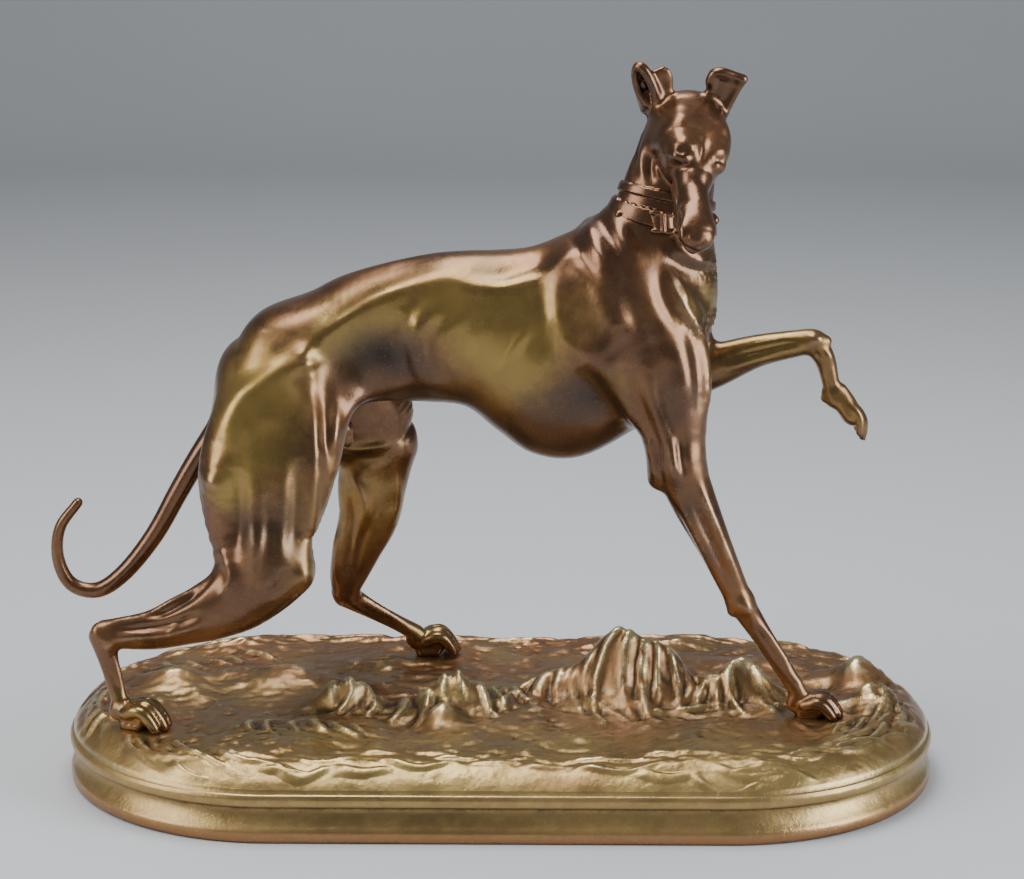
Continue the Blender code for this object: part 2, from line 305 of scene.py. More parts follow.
@dataclass
class Skin:
    """A closed mesh in the pose's units, of quads and a few triangles."""

    vertices: Array
    quads: Array
    triangles: Array

    COARSE = 4
    NEAR_SURFACE = 1.25
    EVENING = 0.5
    SMOOTHING = 0.6

    @classmethod
    def around(cls, clay: Clay, cell: float) -> "Skin":
        """Wrap a body in a mesh of even cells.

        The distance is worked out on a coarse grid, and then finely near the
        surface alone. Each cell that the surface crosses gets one vertex.

        Args:
            clay: The body.
            cell: The size of a cell.

        Returns:
            The mesh around it.
        """
        block = cell * cls.COARSE
        low, high = clay.box(2.0 * block)
        counts = np.ceil((high - low) / block).astype(int) + 1
        coarse = low + np.stack(np.meshgrid(*map(np.arange, counts), indexing="ij"), -1) * block
        field = clay.distance(coarse.reshape(-1, 3)).reshape(counts)
        near = np.abs(field) < cls.NEAR_SURFACE * block
        for axis in range(3):
            near = near | np.roll(near, 1, axis) | np.roll(near, -1, axis)
            field = np.repeat(field, cls.COARSE, axis)
            near = np.repeat(near, cls.COARSE, axis)
        places = np.argwhere(near)
        field[near] = clay.distance(low + places * cell)
        return cls._nets(field, low, cell)

    @classmethod
    def _nets(cls, field: Array, low: Array, cell: float) -> "Skin":
        """Draw the surface of a field of distances.

        Args:
            field: The distances at the grid's points.
            low: The grid's lowest corner.
            cell: The grid's spacing.

        Returns:
            The mesh where the distance is nought.
        """
        inside = field < 0
        size = np.array(field.shape)
        corners = [(a, b, c) for a in (0, 1) for b in (0, 1) for c in (0, 1)]
        count = sum(
            inside[a:size[0] - 1 + a, b:size[1] - 1 + b, c:size[2] - 1 + c].astype(np.int8)
            for a, b, c in corners
        )
        crossed = (count > 0) & (count < 8)
        cells = np.argwhere(crossed)
        number = np.full(size - 1, -1, np.int64)
        number[crossed] = np.arange(len(cells))
        values = {corner: field[tuple((cells + corner).T)] for corner in corners}
        total = np.zeros((len(cells), 3))
        weight = np.zeros(len(cells))
        for corner in corners:
            for axis in range(3):
                if corner[axis]:
                    continue
                other = tuple(1 if k == axis else corner[k] for k in range(3))
                start, end = values[corner], values[other]
                cut = (start < 0) != (end < 0)
                place = np.tile(np.array(corner, float), (len(cells), 1))
                place[:, axis] = np.where(cut, start / (start - end + 1e-12), 0.0)
                total += place * cut[:, None]
                weight += cut
        vertices = low + cell * (cells + total / weight[:, None])
        quads = []
        for axis in range(3):
            first, second = [k for k in range(3) if k != axis]
            start = inside.take(range(size[axis] - 1), axis)
            end = inside.take(range(1, size[axis]), axis)
            edges = np.argwhere(start != end)
            around = []
            for back_first, back_second in ((1, 1), (0, 1), (0, 0), (1, 0)):
                moved = edges.copy()
                moved[:, first] -= back_first
                moved[:, second] -= back_second
                around.append(number[tuple(moved.T)])
            faces = np.stack(around, 1)
            outward = start[tuple(edges.T)] if axis != 1 else ~start[tuple(edges.T)]
            faces[~outward] = faces[~outward][:, ::-1]
            quads.append(faces)
        return cls(vertices, np.concatenate(quads), np.zeros((0, 3), np.int64))

    def normals(self) -> Array:
        """The direction that the skin faces at each vertex.

        Returns:
            A row of length 1 for each vertex.
        """
        total = np.zeros_like(self.vertices)
        for faces, ends in ((self.quads, (0, 2, 1, 3)), (self.triangles, (0, 1, 0, 2))):
            corner = self.vertices[faces]
            across = np.cross(
                corner[:, ends[1]] - corner[:, ends[0]], corner[:, ends[3]] - corner[:, ends[2]])
            for k in range(faces.shape[1]):
                np.add.at(total, faces[:, k], across)
        return total / np.maximum(np.linalg.norm(total, axis=1, keepdims=True), 1e-12)

    def edges(self) -> Array:
        """Each edge once, as two vertices.

        Returns:
            A row of two vertex numbers for each edge.
        """
        pairs = [np.stack([faces, np.roll(faces, -1, axis=1)], -1).reshape(-1, 2)
                 for faces in (self.quads, self.triangles)]
        return np.unique(np.sort(np.concatenate(pairs), axis=1), axis=0)

    def averaged(self, values: Array, edges: Array) -> Array:
        """Take the mean of each vertex's neighbours.

        Args:
            values: A row of numbers for each vertex.
            edges: The skin's edges.

        Returns:
            The means, one row for each vertex.
        """
        total = np.zeros_like(values)
        np.add.at(total, edges[:, 0], values[edges[:, 1]])
        np.add.at(total, edges[:, 1], values[edges[:, 0]])
        count = np.bincount(edges.ravel(), minlength=len(values))
        return total / np.maximum(count, 1).reshape(-1, *[1] * (values.ndim - 1))

    def settle(self, clay: Clay, rounds: int) -> None:
        """Even the vertices out and lay them back on the clay.

        Args:
            clay: The body that the skin lies on.
            rounds: How often both are done.
        """
        edges = self.edges()
        for _ in range(rounds):
            self.vertices += self.EVENING * (self.averaged(self.vertices, edges) - self.vertices)
            self.vertices -= self.normals() * np.clip(clay.distance(self.vertices), -1, 1)[:, None]

    def relief(self, rounds: int) -> Array:
        """Measure how far each vertex stands proud of what is around it.

        Args:
            rounds: How wide around the comparison is.

        Returns:
            The height over the surroundings, negative in a hollow.
        """
        edges = self.edges()
        smooth = self.vertices.copy()
        for _ in range(rounds):
            smooth += self.SMOOTHING * (self.averaged(smooth, edges) - smooth)
        return np.einsum("ij,ij->i", self.vertices - smooth, self.normals())


@dataclass(frozen=True)
class Stroke:
    """A ridge or a groove drawn over the skin, along points given from one side.

    The height is negative for a groove. Skin takes the stroke where it faces
    the side that the stroke is drawn from, between the two depths.
    """

    path: tuple[Place, ...]
    height: float
    width: float
    side: Side = Side.NEAR
    depths: Span = (-FAR, FAR)
    axes: Axes = Axes()
    wrapped: bool = False

    SPAN_STEPS = 6
    REACH = 2.6
    LONG_END = 0.35
    TOWARDS_VIEW = 0.2
    SHOWN = (-0.1, 0.4)
    SHOWN_WRAPPED = (-0.6, -0.2)

    def snapped(self, line: Array, skin: Array) -> Array:
        """Lay the line on the skin, on the points nearest to it and foremost.

        Args:
            line: The line's points, in the two axes that it is drawn in.
            skin: The skin's points, in all three.

        Returns:
            The line's points in all three axes.
        """
        fore = self.TOWARDS_VIEW * skin[:, self.side.depth] * self.side.sign
        flat = skin[:, self.side.axes]
        return np.array([skin[np.argmin(np.hypot(*(flat - point).T) - fore)] for point in line])

    def lift(self, vertices: Array, normals: Array) -> Array:
        """Work out how far the stroke lifts the skin.

        Args:
            vertices: The skin's vertices.
            normals: The directions that it faces.

        Returns:
            The lift of each vertex, along its normal.
        """
        lift = np.zeros(len(vertices))
        local = self.axes.into(vertices)
        line = smooth_rows(np.array(self.path, float), self.SPAN_STEPS)
        flat = local[:, self.side.axes]
        reach = self.REACH * self.width
        depth = local[:, self.side.depth]
        near = np.flatnonzero(
            ((flat > line.min(axis=0) - reach) & (flat < line.max(axis=0) + reach)).all(axis=1)
            & (depth > self.depths[0]) & (depth < self.depths[1])
        )
        if len(near) == 0:
            return lift
        facing = (normals[near] @ self.axes.matrix.T)[:, self.side.depth] * self.side.sign
        if self.wrapped:
            line = self.snapped(line, local[near])
            place, away = nearest_on_line(local[near], line)
            shown = ease(facing, *self.SHOWN_WRAPPED)
        else:
            place, away = nearest_on_line(flat[near], line)
            shown = ease(facing, *self.SHOWN)
        along = place / (len(line) - 1)
        length = float(np.linalg.norm(np.diff(line, axis=0), axis=1).sum())
        ends = ease(np.minimum(along, 1.0 - along) * length, -self.width,
                    max(self.width, self.LONG_END * length))
        profile = np.exp(-(away / self.width) ** 2) * ends * shown
        lift[near] = self.height * profile
        return lift


def drawn(side: Side, depths: Span, *rows: tuple[float | Place, ...], axes: Axes = Axes(),
          wrapped: bool = False) -> tuple[Stroke, ...]:
    """Strokes that are drawn from one side, each row its height, width and points."""
    return tuple(Stroke(tuple(path), height, width, side, depths, axes, wrapped)
                 for height, width, *path in rows)


def mirrored(strokes: tuple[Stroke, ...]) -> tuple[Stroke, ...]:
    """The strokes of the near side, drawn over the off side.

    Args:
        strokes: The near side's strokes.

    Returns:
        The off side's strokes.
    """
    return tuple(
        Stroke(stroke.path, stroke.height, stroke.width, Side.OFF,
               (-stroke.depths[1], -stroke.depths[0]))
        for stroke in strokes
    )


@dataclass(frozen=True)
class Touch:
    """A soft patch of colour over the dog's side: its place, reach and strength."""

    place: Place
    reach: float
    strength: float = 1.0

    @staticmethod
    def over(touches: tuple["Touch", ...], vertices: Array) -> Array:
        """Add patches up over a skin.

        Args:
            touches: The patches.
            vertices: The skin's vertices.

        Returns:
            Their sum at each vertex, from 0 to 1.
        """
        total = np.zeros(len(vertices))
        for touch in touches:
            away = np.hypot(vertices[:, 0] - touch.place[0], vertices[:, 2] - touch.place[1])
            total += touch.strength * np.exp(-(away / touch.reach) ** 2)
        return np.clip(total, 0.0, 1.0)


def make_object(name: str, vertices: Array, faces: list[Array]) -> Piece:
    """Put a mesh into the scene, shaded smooth.

    Args:
        name: The piece's name.
        vertices: Its vertices, in metres.
        faces: Arrays of faces, each with one number of corners.

    Returns:
        The new object.
    """
    mesh = bpy.data.meshes.new(name)
    corners = np.concatenate([part.ravel() for part in faces])
    sizes = np.concatenate([np.full(len(part), part.shape[1]) for part in faces])
    mesh.vertices.add(len(vertices))
    mesh.vertices.foreach_set("co", vertices.astype(np.float32).ravel())
    mesh.loops.add(len(corners))
    mesh.loops.foreach_set("vertex_index", corners.astype(np.int32))
    mesh.polygons.add(len(sizes))
    mesh.polygons.foreach_set("loop_start", (np.cumsum(sizes) - sizes).astype(np.int32))
    mesh.update(calc_edges=True)
    mesh.validate()
    mesh.shade_smooth()
    piece = bpy.data.objects.new(name, mesh)
    bpy.context.scene.collection.objects.link(piece)
    return piece


def paint(piece: Piece, name: str, values: Array) -> None:
    """Keep a number for each vertex of a piece, under a name, for its material."""
    layer = piece.data.attributes.new(name, "FLOAT", "POINT")
    layer.data.foreach_set("value", values.astype(np.float32))


class Noise:
    """Smooth random heights over a plane, the same each run."""

    SIZE = 64

    def __init__(self, seed: int) -> None:
        """Draw the lattice of random heights from a seed."""
        self.lattice = np.random.RandomState(seed).uniform(-1.0, 1.0, (self.SIZE, self.SIZE))

    def at(self, x: Array, y: Array) -> Array:
        """Read the heights.

        Args:
            x: Places along the lattice's rows, one cell to a unit.
            y: Places along its columns.

        Returns:
            Heights from -1 to 1.
        """
        left, low = np.floor(x).astype(int), np.floor(y).astype(int)
        across, up = ease(x - left, 0.0, 1.0), ease(y - low, 0.0, 1.0)
        rows = [
            self.lattice[left % self.SIZE, (low + step) % self.SIZE] * (1 - across)
            + self.lattice[(left + 1) % self.SIZE, (low + step) % self.SIZE] * across
            for step in (0, 1)
        ]
        return rows[0] * (1 - up) + rows[1] * up


def way(turn: float, rise: float) -> Vector:
    """The direction at a turn from the front and a rise from the level, in degrees.

    Args:
        turn: The turn, positive towards x.
        rise: The rise above the level.

    Returns:
        The direction, of length 1.
    """
    turn, rise = math.radians(turn), math.radians(rise)
    return Vector((math.sin(turn) * math.cos(rise), -math.cos(turn) * math.cos(rise),
                   math.sin(rise)))


def turned(axes: Axes, roll: float, origin: Point) -> Axes:
    """Axes rolled about their first direction.

    Args:
        axes: The axes before.
        roll: By how many degrees the third direction leans away from the second.
        origin: Where the new axes start, in the old ones.

    Returns:
        The new axes.
    """
    first, second, third = (Vector(axis) for axis in (axes.first, axes.second, axes.third))
    cos, sin = math.cos(math.radians(roll)), math.sin(math.radians(roll))
    return Axes(tuple(axes.out(origin)), tuple(first), tuple(second * cos + third * sin),
                tuple(third * cos - second * sin))


def head_axes(place: Point, turn: float, rise: float) -> Axes:
    """Lay out the head's own axes: to the nose, to its left side, and to the crown.

    Args:
        place: The middle of the skull.
        turn: How far the nose is turned from the front, in degrees.
        rise: How far it is raised, in degrees.

    Returns:
        The axes.
    """
    nose = way(turn, rise)
    side = nose.cross(Vector((0.0, 0.0, 1.0))).normalized()
    return Axes(place, tuple(nose), tuple(side), tuple(side.cross(nose)))


HEAD = head_axes((47.6, -4.0, 150.3), turn=3.5, rise=-32.0)
FACE = turned(HEAD, 20.0, (0.0, -1.1, 0.0))
MUZZLE = turned(HEAD, -30.0, (0.0, 0.0, 0.0))


def head_form(*rows: Station, blend: float = 2.0, axes: Axes = HEAD) -> Form:
    """A form whose stations are given in the head's axes, or in ones rolled from them."""
    stations = tuple((*axes.out(row[:3]), *row[3:]) for row in rows)
    return Form(stations, blend, axes.second)


@dataclass(frozen=True)
class Paw:
    """A paw of four arched toes with nails, in front of a pastern.

    Its own axes start behind the toes on the ground: the first runs to the
    tips, the second across and the third out of the back of the paw.
    """

    name: str
    axes: Axes
    length: float
    spread: float
    arch: float
    girth: float

    TOES = ((-1.0, 0.88), (-0.36, 1.0), (0.36, 1.0), (1.0, 0.88))

    @staticmethod
    def standing(name: str, start: Point, heading: float, length: float, spread: float,
                 arch: float, girth: float) -> "Paw":
        """Make a paw that stands flat.

        Args:
            name: The paw's name.
            start: Where it starts.
            heading: Its way over the ground, in degrees from the x axis.
            length: Its length.
            spread: How far the outer toes lie from the middle.
            arch: How high the knuckles are.
            girth: A toe's radius.

        Returns:
            The paw.
        """
        cos, sin = math.cos(math.radians(heading)), math.sin(math.radians(heading))
        return Paw(name, Axes(start, (cos, sin, 0.0), (-sin, cos, 0.0)), length, spread, arch,
                   girth)

    def form(self, *rows: Station, blend: float = 0.7) -> Form:
        """A form whose stations are given in the paw's own axes."""
        return Form(tuple((*self.axes.out(row[:3]), *row[3:]) for row in rows), blend,
                    lateral=self.axes.second)

    def limb(self) -> Limb:
        """Metatarsus, pads, toes and nails.

        Returns:
            The paw as one limb.
        """
        run, high, girth = self.length, self.arch, self.girth
        forms = [
            self.form((0.5, 0, 0.62 * high, 2.1, 2.4), (0.34 * run, 0, 0.6 * high, 3.0, 2.5),
                      (0.58 * run, 0, 0.42 * high, 3.1, 2.2), blend=1.5),
            self.form((0.2 * run, 0, 0.16 * high, 2.4, 1.6), (0.5 * run, 0, 0.16 * high, 3.2, 1.5),
                      blend=1.2),
        ]
        for share, lower in self.TOES:
            across = share * self.spread
            tip = run * lower
            forms.append(self.form(
                (0.26 * run, 0.62 * across, 0.74 * high * lower, girth, girth),
                (0.52 * tip, 0.92 * across, 0.93 * high * lower, 1.02 * girth, 1.02 * girth),
                (0.70 * tip, 1.02 * across, 0.86 * high * lower, 1.06 * girth, 1.04 * girth),
                (0.86 * tip, 1.05 * across, 0.52 * high * lower, 0.98 * girth, 0.96 * girth),
                (0.95 * tip, 1.06 * across, 0.24 * high, 0.86 * girth, 0.8 * girth),
                blend=0.35,
            ))
            forms.append(self.form(
                (0.95 * tip, 1.06 * across, 0.3 * high, 0.55, 0.6),
                (1.06 * tip, 1.07 * across, 0.14 * high, 0.32, 0.36), blend=0.3,
            ))
        return Limb(self.name, tuple(forms), 1.6)


NEAR_HIND_PAW = Paw.standing("near hind paw", (-98.6, -24.4, 0.0), -11.0, 14.2, 3.7, 7.4, 1.62)
OFF_HIND_PAW = Paw.standing("off hind paw", (-24.0, 32.9, 0.4), 15.0, 13.0, 3.5, 7.2, 1.55)
NEAR_FORE_PAW = Paw.standing("near fore paw", (77.4, -13.4, 0.0), -7.0, 12.9, 3.5, 5.8, 1.5)
LIFTED_PAW = Paw("lifted paw", Axes((87.2, 7.0, 81.6), (0.57, 0.0, -0.82), (0.0, 1.0, 0.0),
                                    (0.82, 0.0, 0.57)), 14.6, 2.5, 3.9, 1.25)

TRUNK_STROKES = drawn(
    Side.NEAR, (-30.0, 3.0),
    (1.2, 2.7, (-56, 88), (-52.5, 92.5), (-45.5, 100.5), (-35.5, 108), (-28.5, 111.5),
     (-19, 114.5), (-12, 115.5), (-5.5, 113.7), (1.5, 114), (7, 116), (14, 118.5), (18.5, 121)),
    (-0.9, 3.6, (-52, 99), (-42, 107), (-33, 113), (-22, 117.6), (-12, 118.3)),
    (-0.9, 3.0, (-24, 108), (-26.5, 100), (-25, 91)),
    (1.5, 2.9, (-15, 111), (-19, 105), (-20.4, 98), (-18, 90), (-12, 85)),
    (-0.35, 1.5, (-12, 108), (-16.4, 100), (-15, 91)),
    (0.32, 1.9, (-9, 107.5), (-13.4, 99), (-12, 90)),
    (-0.2, 1.7, (-4.6, 108), (-8.6, 99.5), (-7.4, 89)),
    (0.24, 2.0, (-1, 108), (-4.8, 99), (-3, 87)),
    (0.45, 1.5, (8, 104.5), (4.4, 98.8), (0.4, 91.5)),
    (-0.25, 1.6, (10.8, 104.5), (7, 98), (4, 90)),
    (0.2, 2.0, (14, 101), (10.6, 94), (10, 86)),
    (-0.8, 3.6, (12.5, 115), (11.5, 106), (13, 95)),
    (-1.9, 5.0, (21, 95), (25.5, 87), (31, 79)),
    (0.5, 2.2, (-42, 76.5), (-36, 83), (-29, 85), (-22, 88.5), (-14, 87)),
    (-1.0, 2.0, (-7, 118.2), (0, 116.6), (6, 118), (12, 120.6), (16, 123.6)),
)
FLANK_STROKES = drawn(
    Side.NEAR, (-30.0, 3.0),
    (-2.4, 7.0, (-46, 90), (-38, 95.5), (-31, 98.5), (-26, 99.5)),
)
SHOULDER_STROKES = drawn(
    Side.NEAR, (-35.0, 2.0),
    (0.7, 2.6, (15.5, 120), (15, 111), (17.5, 102), (22.5, 97)),
    (0.5, 1.4, (14, 119), (18.5, 122.3), (23.5, 123.2)),
    (0.8, 2.6, (24, 120), (27, 111.5), (28.8, 104), (27.4, 98)),
    (-0.7, 2.8, (31.5, 119), (34.5, 110), (38, 101), (38.5, 95)),
    (0.7, 2.6, (30.6, 109), (32, 105)),
    (1.1, 2.4, (28, 94.5), (30.4, 88), (33.8, 82), (38, 75)),
    (-0.7, 2.0, (34, 96), (34.9, 88), (38, 80.5), (41.3, 73)),
    (0.8, 1.8, (38.5, 98), (39, 88.5), (42, 79.5), (44.5, 71)),
    (-0.6, 1.7, (41.6, 93.5), (42.2, 86), (44.6, 79.5), (47, 72)),
    (1.4, 4.0, (44.2, 102), (46.4, 94), (48.4, 84)),
    (-0.8, 1.8, (47.6, 107), (50.4, 97.5), (51.2, 88), (51.4, 80)),
    (0.7, 1.3, (52.6, 102), (53.6, 96), (54, 88), (53.4, 80)),
)
NECK_STROKES = drawn(
    Side.NEAR, (-35.0, 4.0),
    (1.0, 2.3, (21.4, 131), (25, 125), (29.4, 117.6)),
    (-0.7, 1.8, (18, 127.4), (22, 121.5), (26.5, 115.6)),
    (-0.6, 1.6, (25.4, 132.6), (28.6, 126.5), (32.6, 119.6)),
    (0.5, 2.2, (29, 132), (32.4, 126), (36, 119.6)),
    (-0.4, 1.1, (33.4, 130), (36, 125.5)),
    (1.0, 1.3, (42.5, 121), (45, 114), (50, 105.5), (54, 100)),
    (-0.8, 1.8, (40.4, 119), (42.2, 111.5), (46.6, 103.6)),
    (1.5, 2.6, (43.5, 126), (48.4, 121.8), (54, 118.8)),
    (-0.8, 1.6, (42.6, 122.4), (49, 118.6), (57, 116.4)),
    (0.8, 1.0, (58.2, 113), (57, 107), (54.6, 101.6)),
    (-0.8, 2.0, (51.4, 114), (54, 107.5)),
    (1.2, 2.2, (46.4, 115.4), (49, 110), (52, 105)),
    (-0.5, 1.2, (55.6, 107.8), (59, 106.2)),
    (0.7, 1.0, (46, 128.6), (51, 124.6), (56, 123.2)),
    (0.45, 0.7, (44, 119), (47, 114), (48.4, 110)),
)
THROAT_STROKES = drawn(
    Side.NEAR, (-20.0, 8.0),
    (0.6, 1.5, (30.5, 139.5), (32.8, 147), (36, 156)),
    (-1.1, 0.9, (34.6, 141), (35, 147.5), (36.8, 153.5), (38.2, 158)),
    (0.7, 1.1, (37, 140), (36.8, 146), (38.8, 151.4)),
    (0.6, 0.8, (41.2, 140.5), (40, 144.6)),
    (-0.6, 0.8, (39.2, 139.5), (38.8, 144.5), (40.6, 149)),
    (0.5, 0.8, (42.4, 147), (41.4, 150.4)),
)
NEAR_HIND_STROKES = drawn(
    Side.NEAR, (-45.0, -4.0),
    (1.3, 2.8, (-46, 97), (-52, 94.5), (-59.5, 90), (-64.5, 86.5), (-68, 81), (-70, 75)),
    (-0.9, 3.8, (-63, 79.5), (-57, 82.4), (-50, 81.5)),
    (2.2, 3.6, (-71, 69), (-71.6, 62)),
    (-1.5, 2.7, (-66.2, 70), (-65.8, 58), (-66.4, 45)),
    (0.8, 2.6, (-61.2, 73), (-60.6, 58), (-62.8, 44)),
    (0.5, 1.3, (-59.6, 56), (-61.2, 46), (-61.8, 38)),
    (-0.6, 1.9, (-57, 67), (-57.2, 54), (-57.8, 42)),
    (0.6, 2.4, (-53.6, 74), (-54.6, 60), (-55.6, 46)),
    (-0.8, 2.0, (-50.2, 73), (-50.6, 58), (-52.4, 46)),
    (1.2, 1.9, (-47.6, 95), (-46.6, 84), (-46.4, 74), (-46.8, 61), (-48, 50), (-48.2, 42)),
    (-0.8, 1.7, (-43.8, 91), (-43.2, 82), (-42.9, 73), (-43.4, 64)),
    (0.4, 1.2, (-44.8, 75), (-43.9, 70), (-44.6, 64)),
    (0.8, 1.4, (-40.8, 85), (-41.2, 78), (-42.2, 71)),
    (2.0, 3.0, (-48.6, 96), (-47.6, 92.5)),
    (0.9, 1.9, (-48.6, 43.6), (-49.2, 39)),
    (-0.7, 1.7, (-51.8, 43.4), (-55, 39.6), (-58.4, 37)),
    (0.7, 1.6, (-70.5, 49), (-67.6, 41.4), (-69.8, 35.4)),
    (0.9, 1.1, (-101, 28.6), (-95, 30.6), (-85, 33.8), (-76.4, 40), (-71, 48)),
    (-1.1, 1.0, (-91, 30), (-85, 31.6), (-79, 35.4), (-74.6, 41)),
    (-0.6, 0.8, (-81, 33.4), (-76, 37), (-71.4, 42.4)),
    (-1.0, 1.0, (-101, 26.6), (-89.6, 27.6), (-80, 29.8), (-75, 32)),
    (0.8, 1.3, (-100.6, 23.8), (-93.5, 25.2), (-83, 26.3), (-71.6, 30)),
    (0.35, 0.6, (-84, 25), (-82.6, 28), (-80.4, 30.4)),
    (0.9, 1.5, (-100.2, 24), (-99.2, 21.4)),
    (0.6, 1.2, (-102.8, 28.6), (-103.2, 26)),
    (-0.5, 0.7, (-99.8, 20), (-98.6, 13.5), (-96.8, 9)),
    (0.4, 0.7, (-97.6, 20), (-96.4, 13.5), (-94.6, 9)),
)
OFF_HIND_STROKES = drawn(
    Side.NEAR, (2.0, 45.0),
    (0.7, 1.1, (-43.5, 65.2), (-35, 65.6), (-27.4, 66.2)),
    (-0.5, 1.6, (-41, 62.5), (-35, 62), (-29, 62.8)),
    (0.9, 1.6, (-43, 60), (-37, 54), (-35, 47), (-36.6, 39.5)),
    (-0.9, 1.1, (-39.6, 52), (-39.2, 44), (-40.2, 35), (-41.2, 25)),
    (-0.8, 1.1, (-32.4, 50), (-36.2, 39.6), (-38, 33), (-39, 25)),
    (0.6, 1.4, (-27.4, 57.5), (-27, 49), (-29.4, 42)),
    (0.6, 0.9, (-43.6, 41), (-44.2, 32), (-44.8, 24)),
    (0.6, 0.8, (-40, 23), (-31.5, 15.4), (-23.4, 9)),
    (-0.4, 0.7, (-41, 20), (-33, 13.6), (-25.5, 8.4)),
)
OFF_THIGH_STROKES = drawn(
    Side.OFF, (8.0, 45.0),
    (1.2, 2.4, (-46, 97), (-52, 93.5), (-59.5, 88), (-63, 82), (-62, 74)),
    (1.0, 1.8, (-37, 88), (-33, 82), (-28, 74), (-26, 65), (-27, 58)),
    (-1.0, 2.0, (-50, 84), (-42, 74), (-38, 64)),
    (0.8, 1.8, (-44, 84), (-38, 74), (-34, 64)),
    (-0.7, 1.4, (-37, 86), (-32, 76), (-30.5, 66)),
    (-0.9, 1.1, (-39.6, 52), (-39.2, 44), (-40.2, 35), (-41.2, 25)),
    (0.7, 1.3, (-35, 58), (-35.5, 48), (-37, 38), (-39, 28)),
)
NEAR_FORE_STROKES = drawn(
    Side.NEAR, (-25.0, -2.0),
    (0.8, 1.2, (44.2, 77), (44.9, 71), (45.6, 65)),
    (-0.9, 1.1, (46.9, 79), (47, 72), (48.4, 66)),
    (-0.8, 1.0, (41, 77), (41.2, 69), (42.6, 62.5)),
    (0.5, 1.0, (38.9, 76), (39.3, 70)),
    (0.9, 1.6, (50.8, 68), (53.4, 60), (57.4, 50), (61, 41), (64.4, 33)),
    (-1.1, 1.3, (48, 66), (53.4, 53.4), (58.4, 41.8), (62, 34)),
    (0.6, 1.1, (46, 62), (51.4, 50.6), (56.6, 39.8)),
    (-0.5, 0.9, (44.2, 60), (49.6, 48.8), (55.4, 38)),
    (0.9, 1.5, (64.2, 32), (66, 28.6)),
    (-0.5, 0.7, (66.2, 26.6), (71, 19.4), (76, 12)),
    (0.4, 0.7, (68.6, 26.6), (73.4, 19.4), (78.4, 12)),
    (0.6, 1.3, (78.2, 10.6), (79.4, 8.4)),
)
OFF_FORE_STROKES = drawn(
    Side.NEAR, (-3.0, 18.0),
    (-0.7, 0.8, (58, 91), (64, 93), (69.5, 94.5), (75.5, 95.8), (79.6, 95.8)),
    (0.4, 0.9, (58, 88.4), (66, 91), (74, 93)),
    (0.8, 1.2, (81.2, 97.8), (84.4, 96.8)),
    (0.6, 1.0, (85.8, 93.6), (86.8, 91.6)),
    (-0.6, 0.9, (82.6, 93.8), (83.8, 92)),
    (-0.45, 0.6, (85.2, 90.6), (86.6, 86), (88.6, 82)),
)
BROW_STROKES = drawn(
    Side.ABOVE, (0.0, FAR),
    (-0.5, 2.6, (-6, 0), (2, 0), (9, 0)),
    (-0.6, 1.1, (6, 0), (10, 0), (14, 0)),
    (0.8, 2.2, (-7, 4.8), (0, 5.8), (5, 5.4)),
    (0.8, 2.2, (-7, -4.8), (0, -5.8), (5, -5.4)),
    axes=FACE,
)
EYE_STROKES = tuple(stroke for sign in (-1.0, 1.0) for stroke in drawn(
    Side.ABOVE, (-2.0, FAR),
    (0.35, 1.2, (9.6, 6.2 * sign), (9.8, 5.0 * sign), (10.4, 3.6 * sign), (11.4, 2.6 * sign)),
    (-0.55, 0.75, (11.4, 6.4 * sign), (11.6, 5.2 * sign), (12.0, 4.0 * sign), (12.5, 2.9 * sign)),
    axes=FACE, wrapped=True,
))
CHEEK_STROKES = tuple(stroke for side in (Side.OFF, Side.NEAR) for stroke in drawn(
    side, (-FAR, FAR),
    (-0.5, 0.55, (33, -5.4), (28, -5.8), (20, -5.6), (14, -5.0)),
    (0.3, 1.2, (32, -4.0), (26, -4.2), (18, -4.0)),
    axes=FACE,
))
NOSE_STROKES = drawn(
    Side.FRONT, (32.5, FAR),
    (-0.6, 0.6, (3.3, -1.8), (3.2, -2.8), (2.4, -3.3)),
    (-0.6, 0.6, (-1.1, -1.8), (-1.0, -2.8), (-0.2, -3.3)),
    (-0.45, 0.6, (4.0, -5.2), (1.1, -4.7), (-1.9, -5.2)),
    axes=FACE,
)

GILT = (
    Touch((-60, 88), 13.0, 0.9), Touch((-63, 73), 10.0, 0.6), Touch((-40, 102), 8.0, 0.8),
    Touch((-27, 108), 8.0, 0.75), Touch((-13, 110), 8.0, 0.8), Touch((3, 108), 12.0, 0.8),
    Touch((6, 95), 11.0, 0.8), Touch((-8, 96), 9.0, 0.4), Touch((-2, 82), 8.0, 0.4),
    Touch((22, 108), 9.0, 0.35), Touch((30, 90), 6.0, 0.4), Touch((-38, 50), 20.0, 0.55),
    Touch((72, 93), 16.0, 0.7), Touch((92, 76), 9.0, 0.5), Touch((-80, 30), 10.0, 0.15),
    Touch((54, 110), 8.0, 0.5), Touch((-92, 7), 8.0, 0.6), Touch((81, 8), 6.0, 0.3),
    Touch((-17, 11), 9.0, 0.7), Touch((66, 32), 5.0, 0.3), Touch((-68, 63), 6.0, 0.6),
)
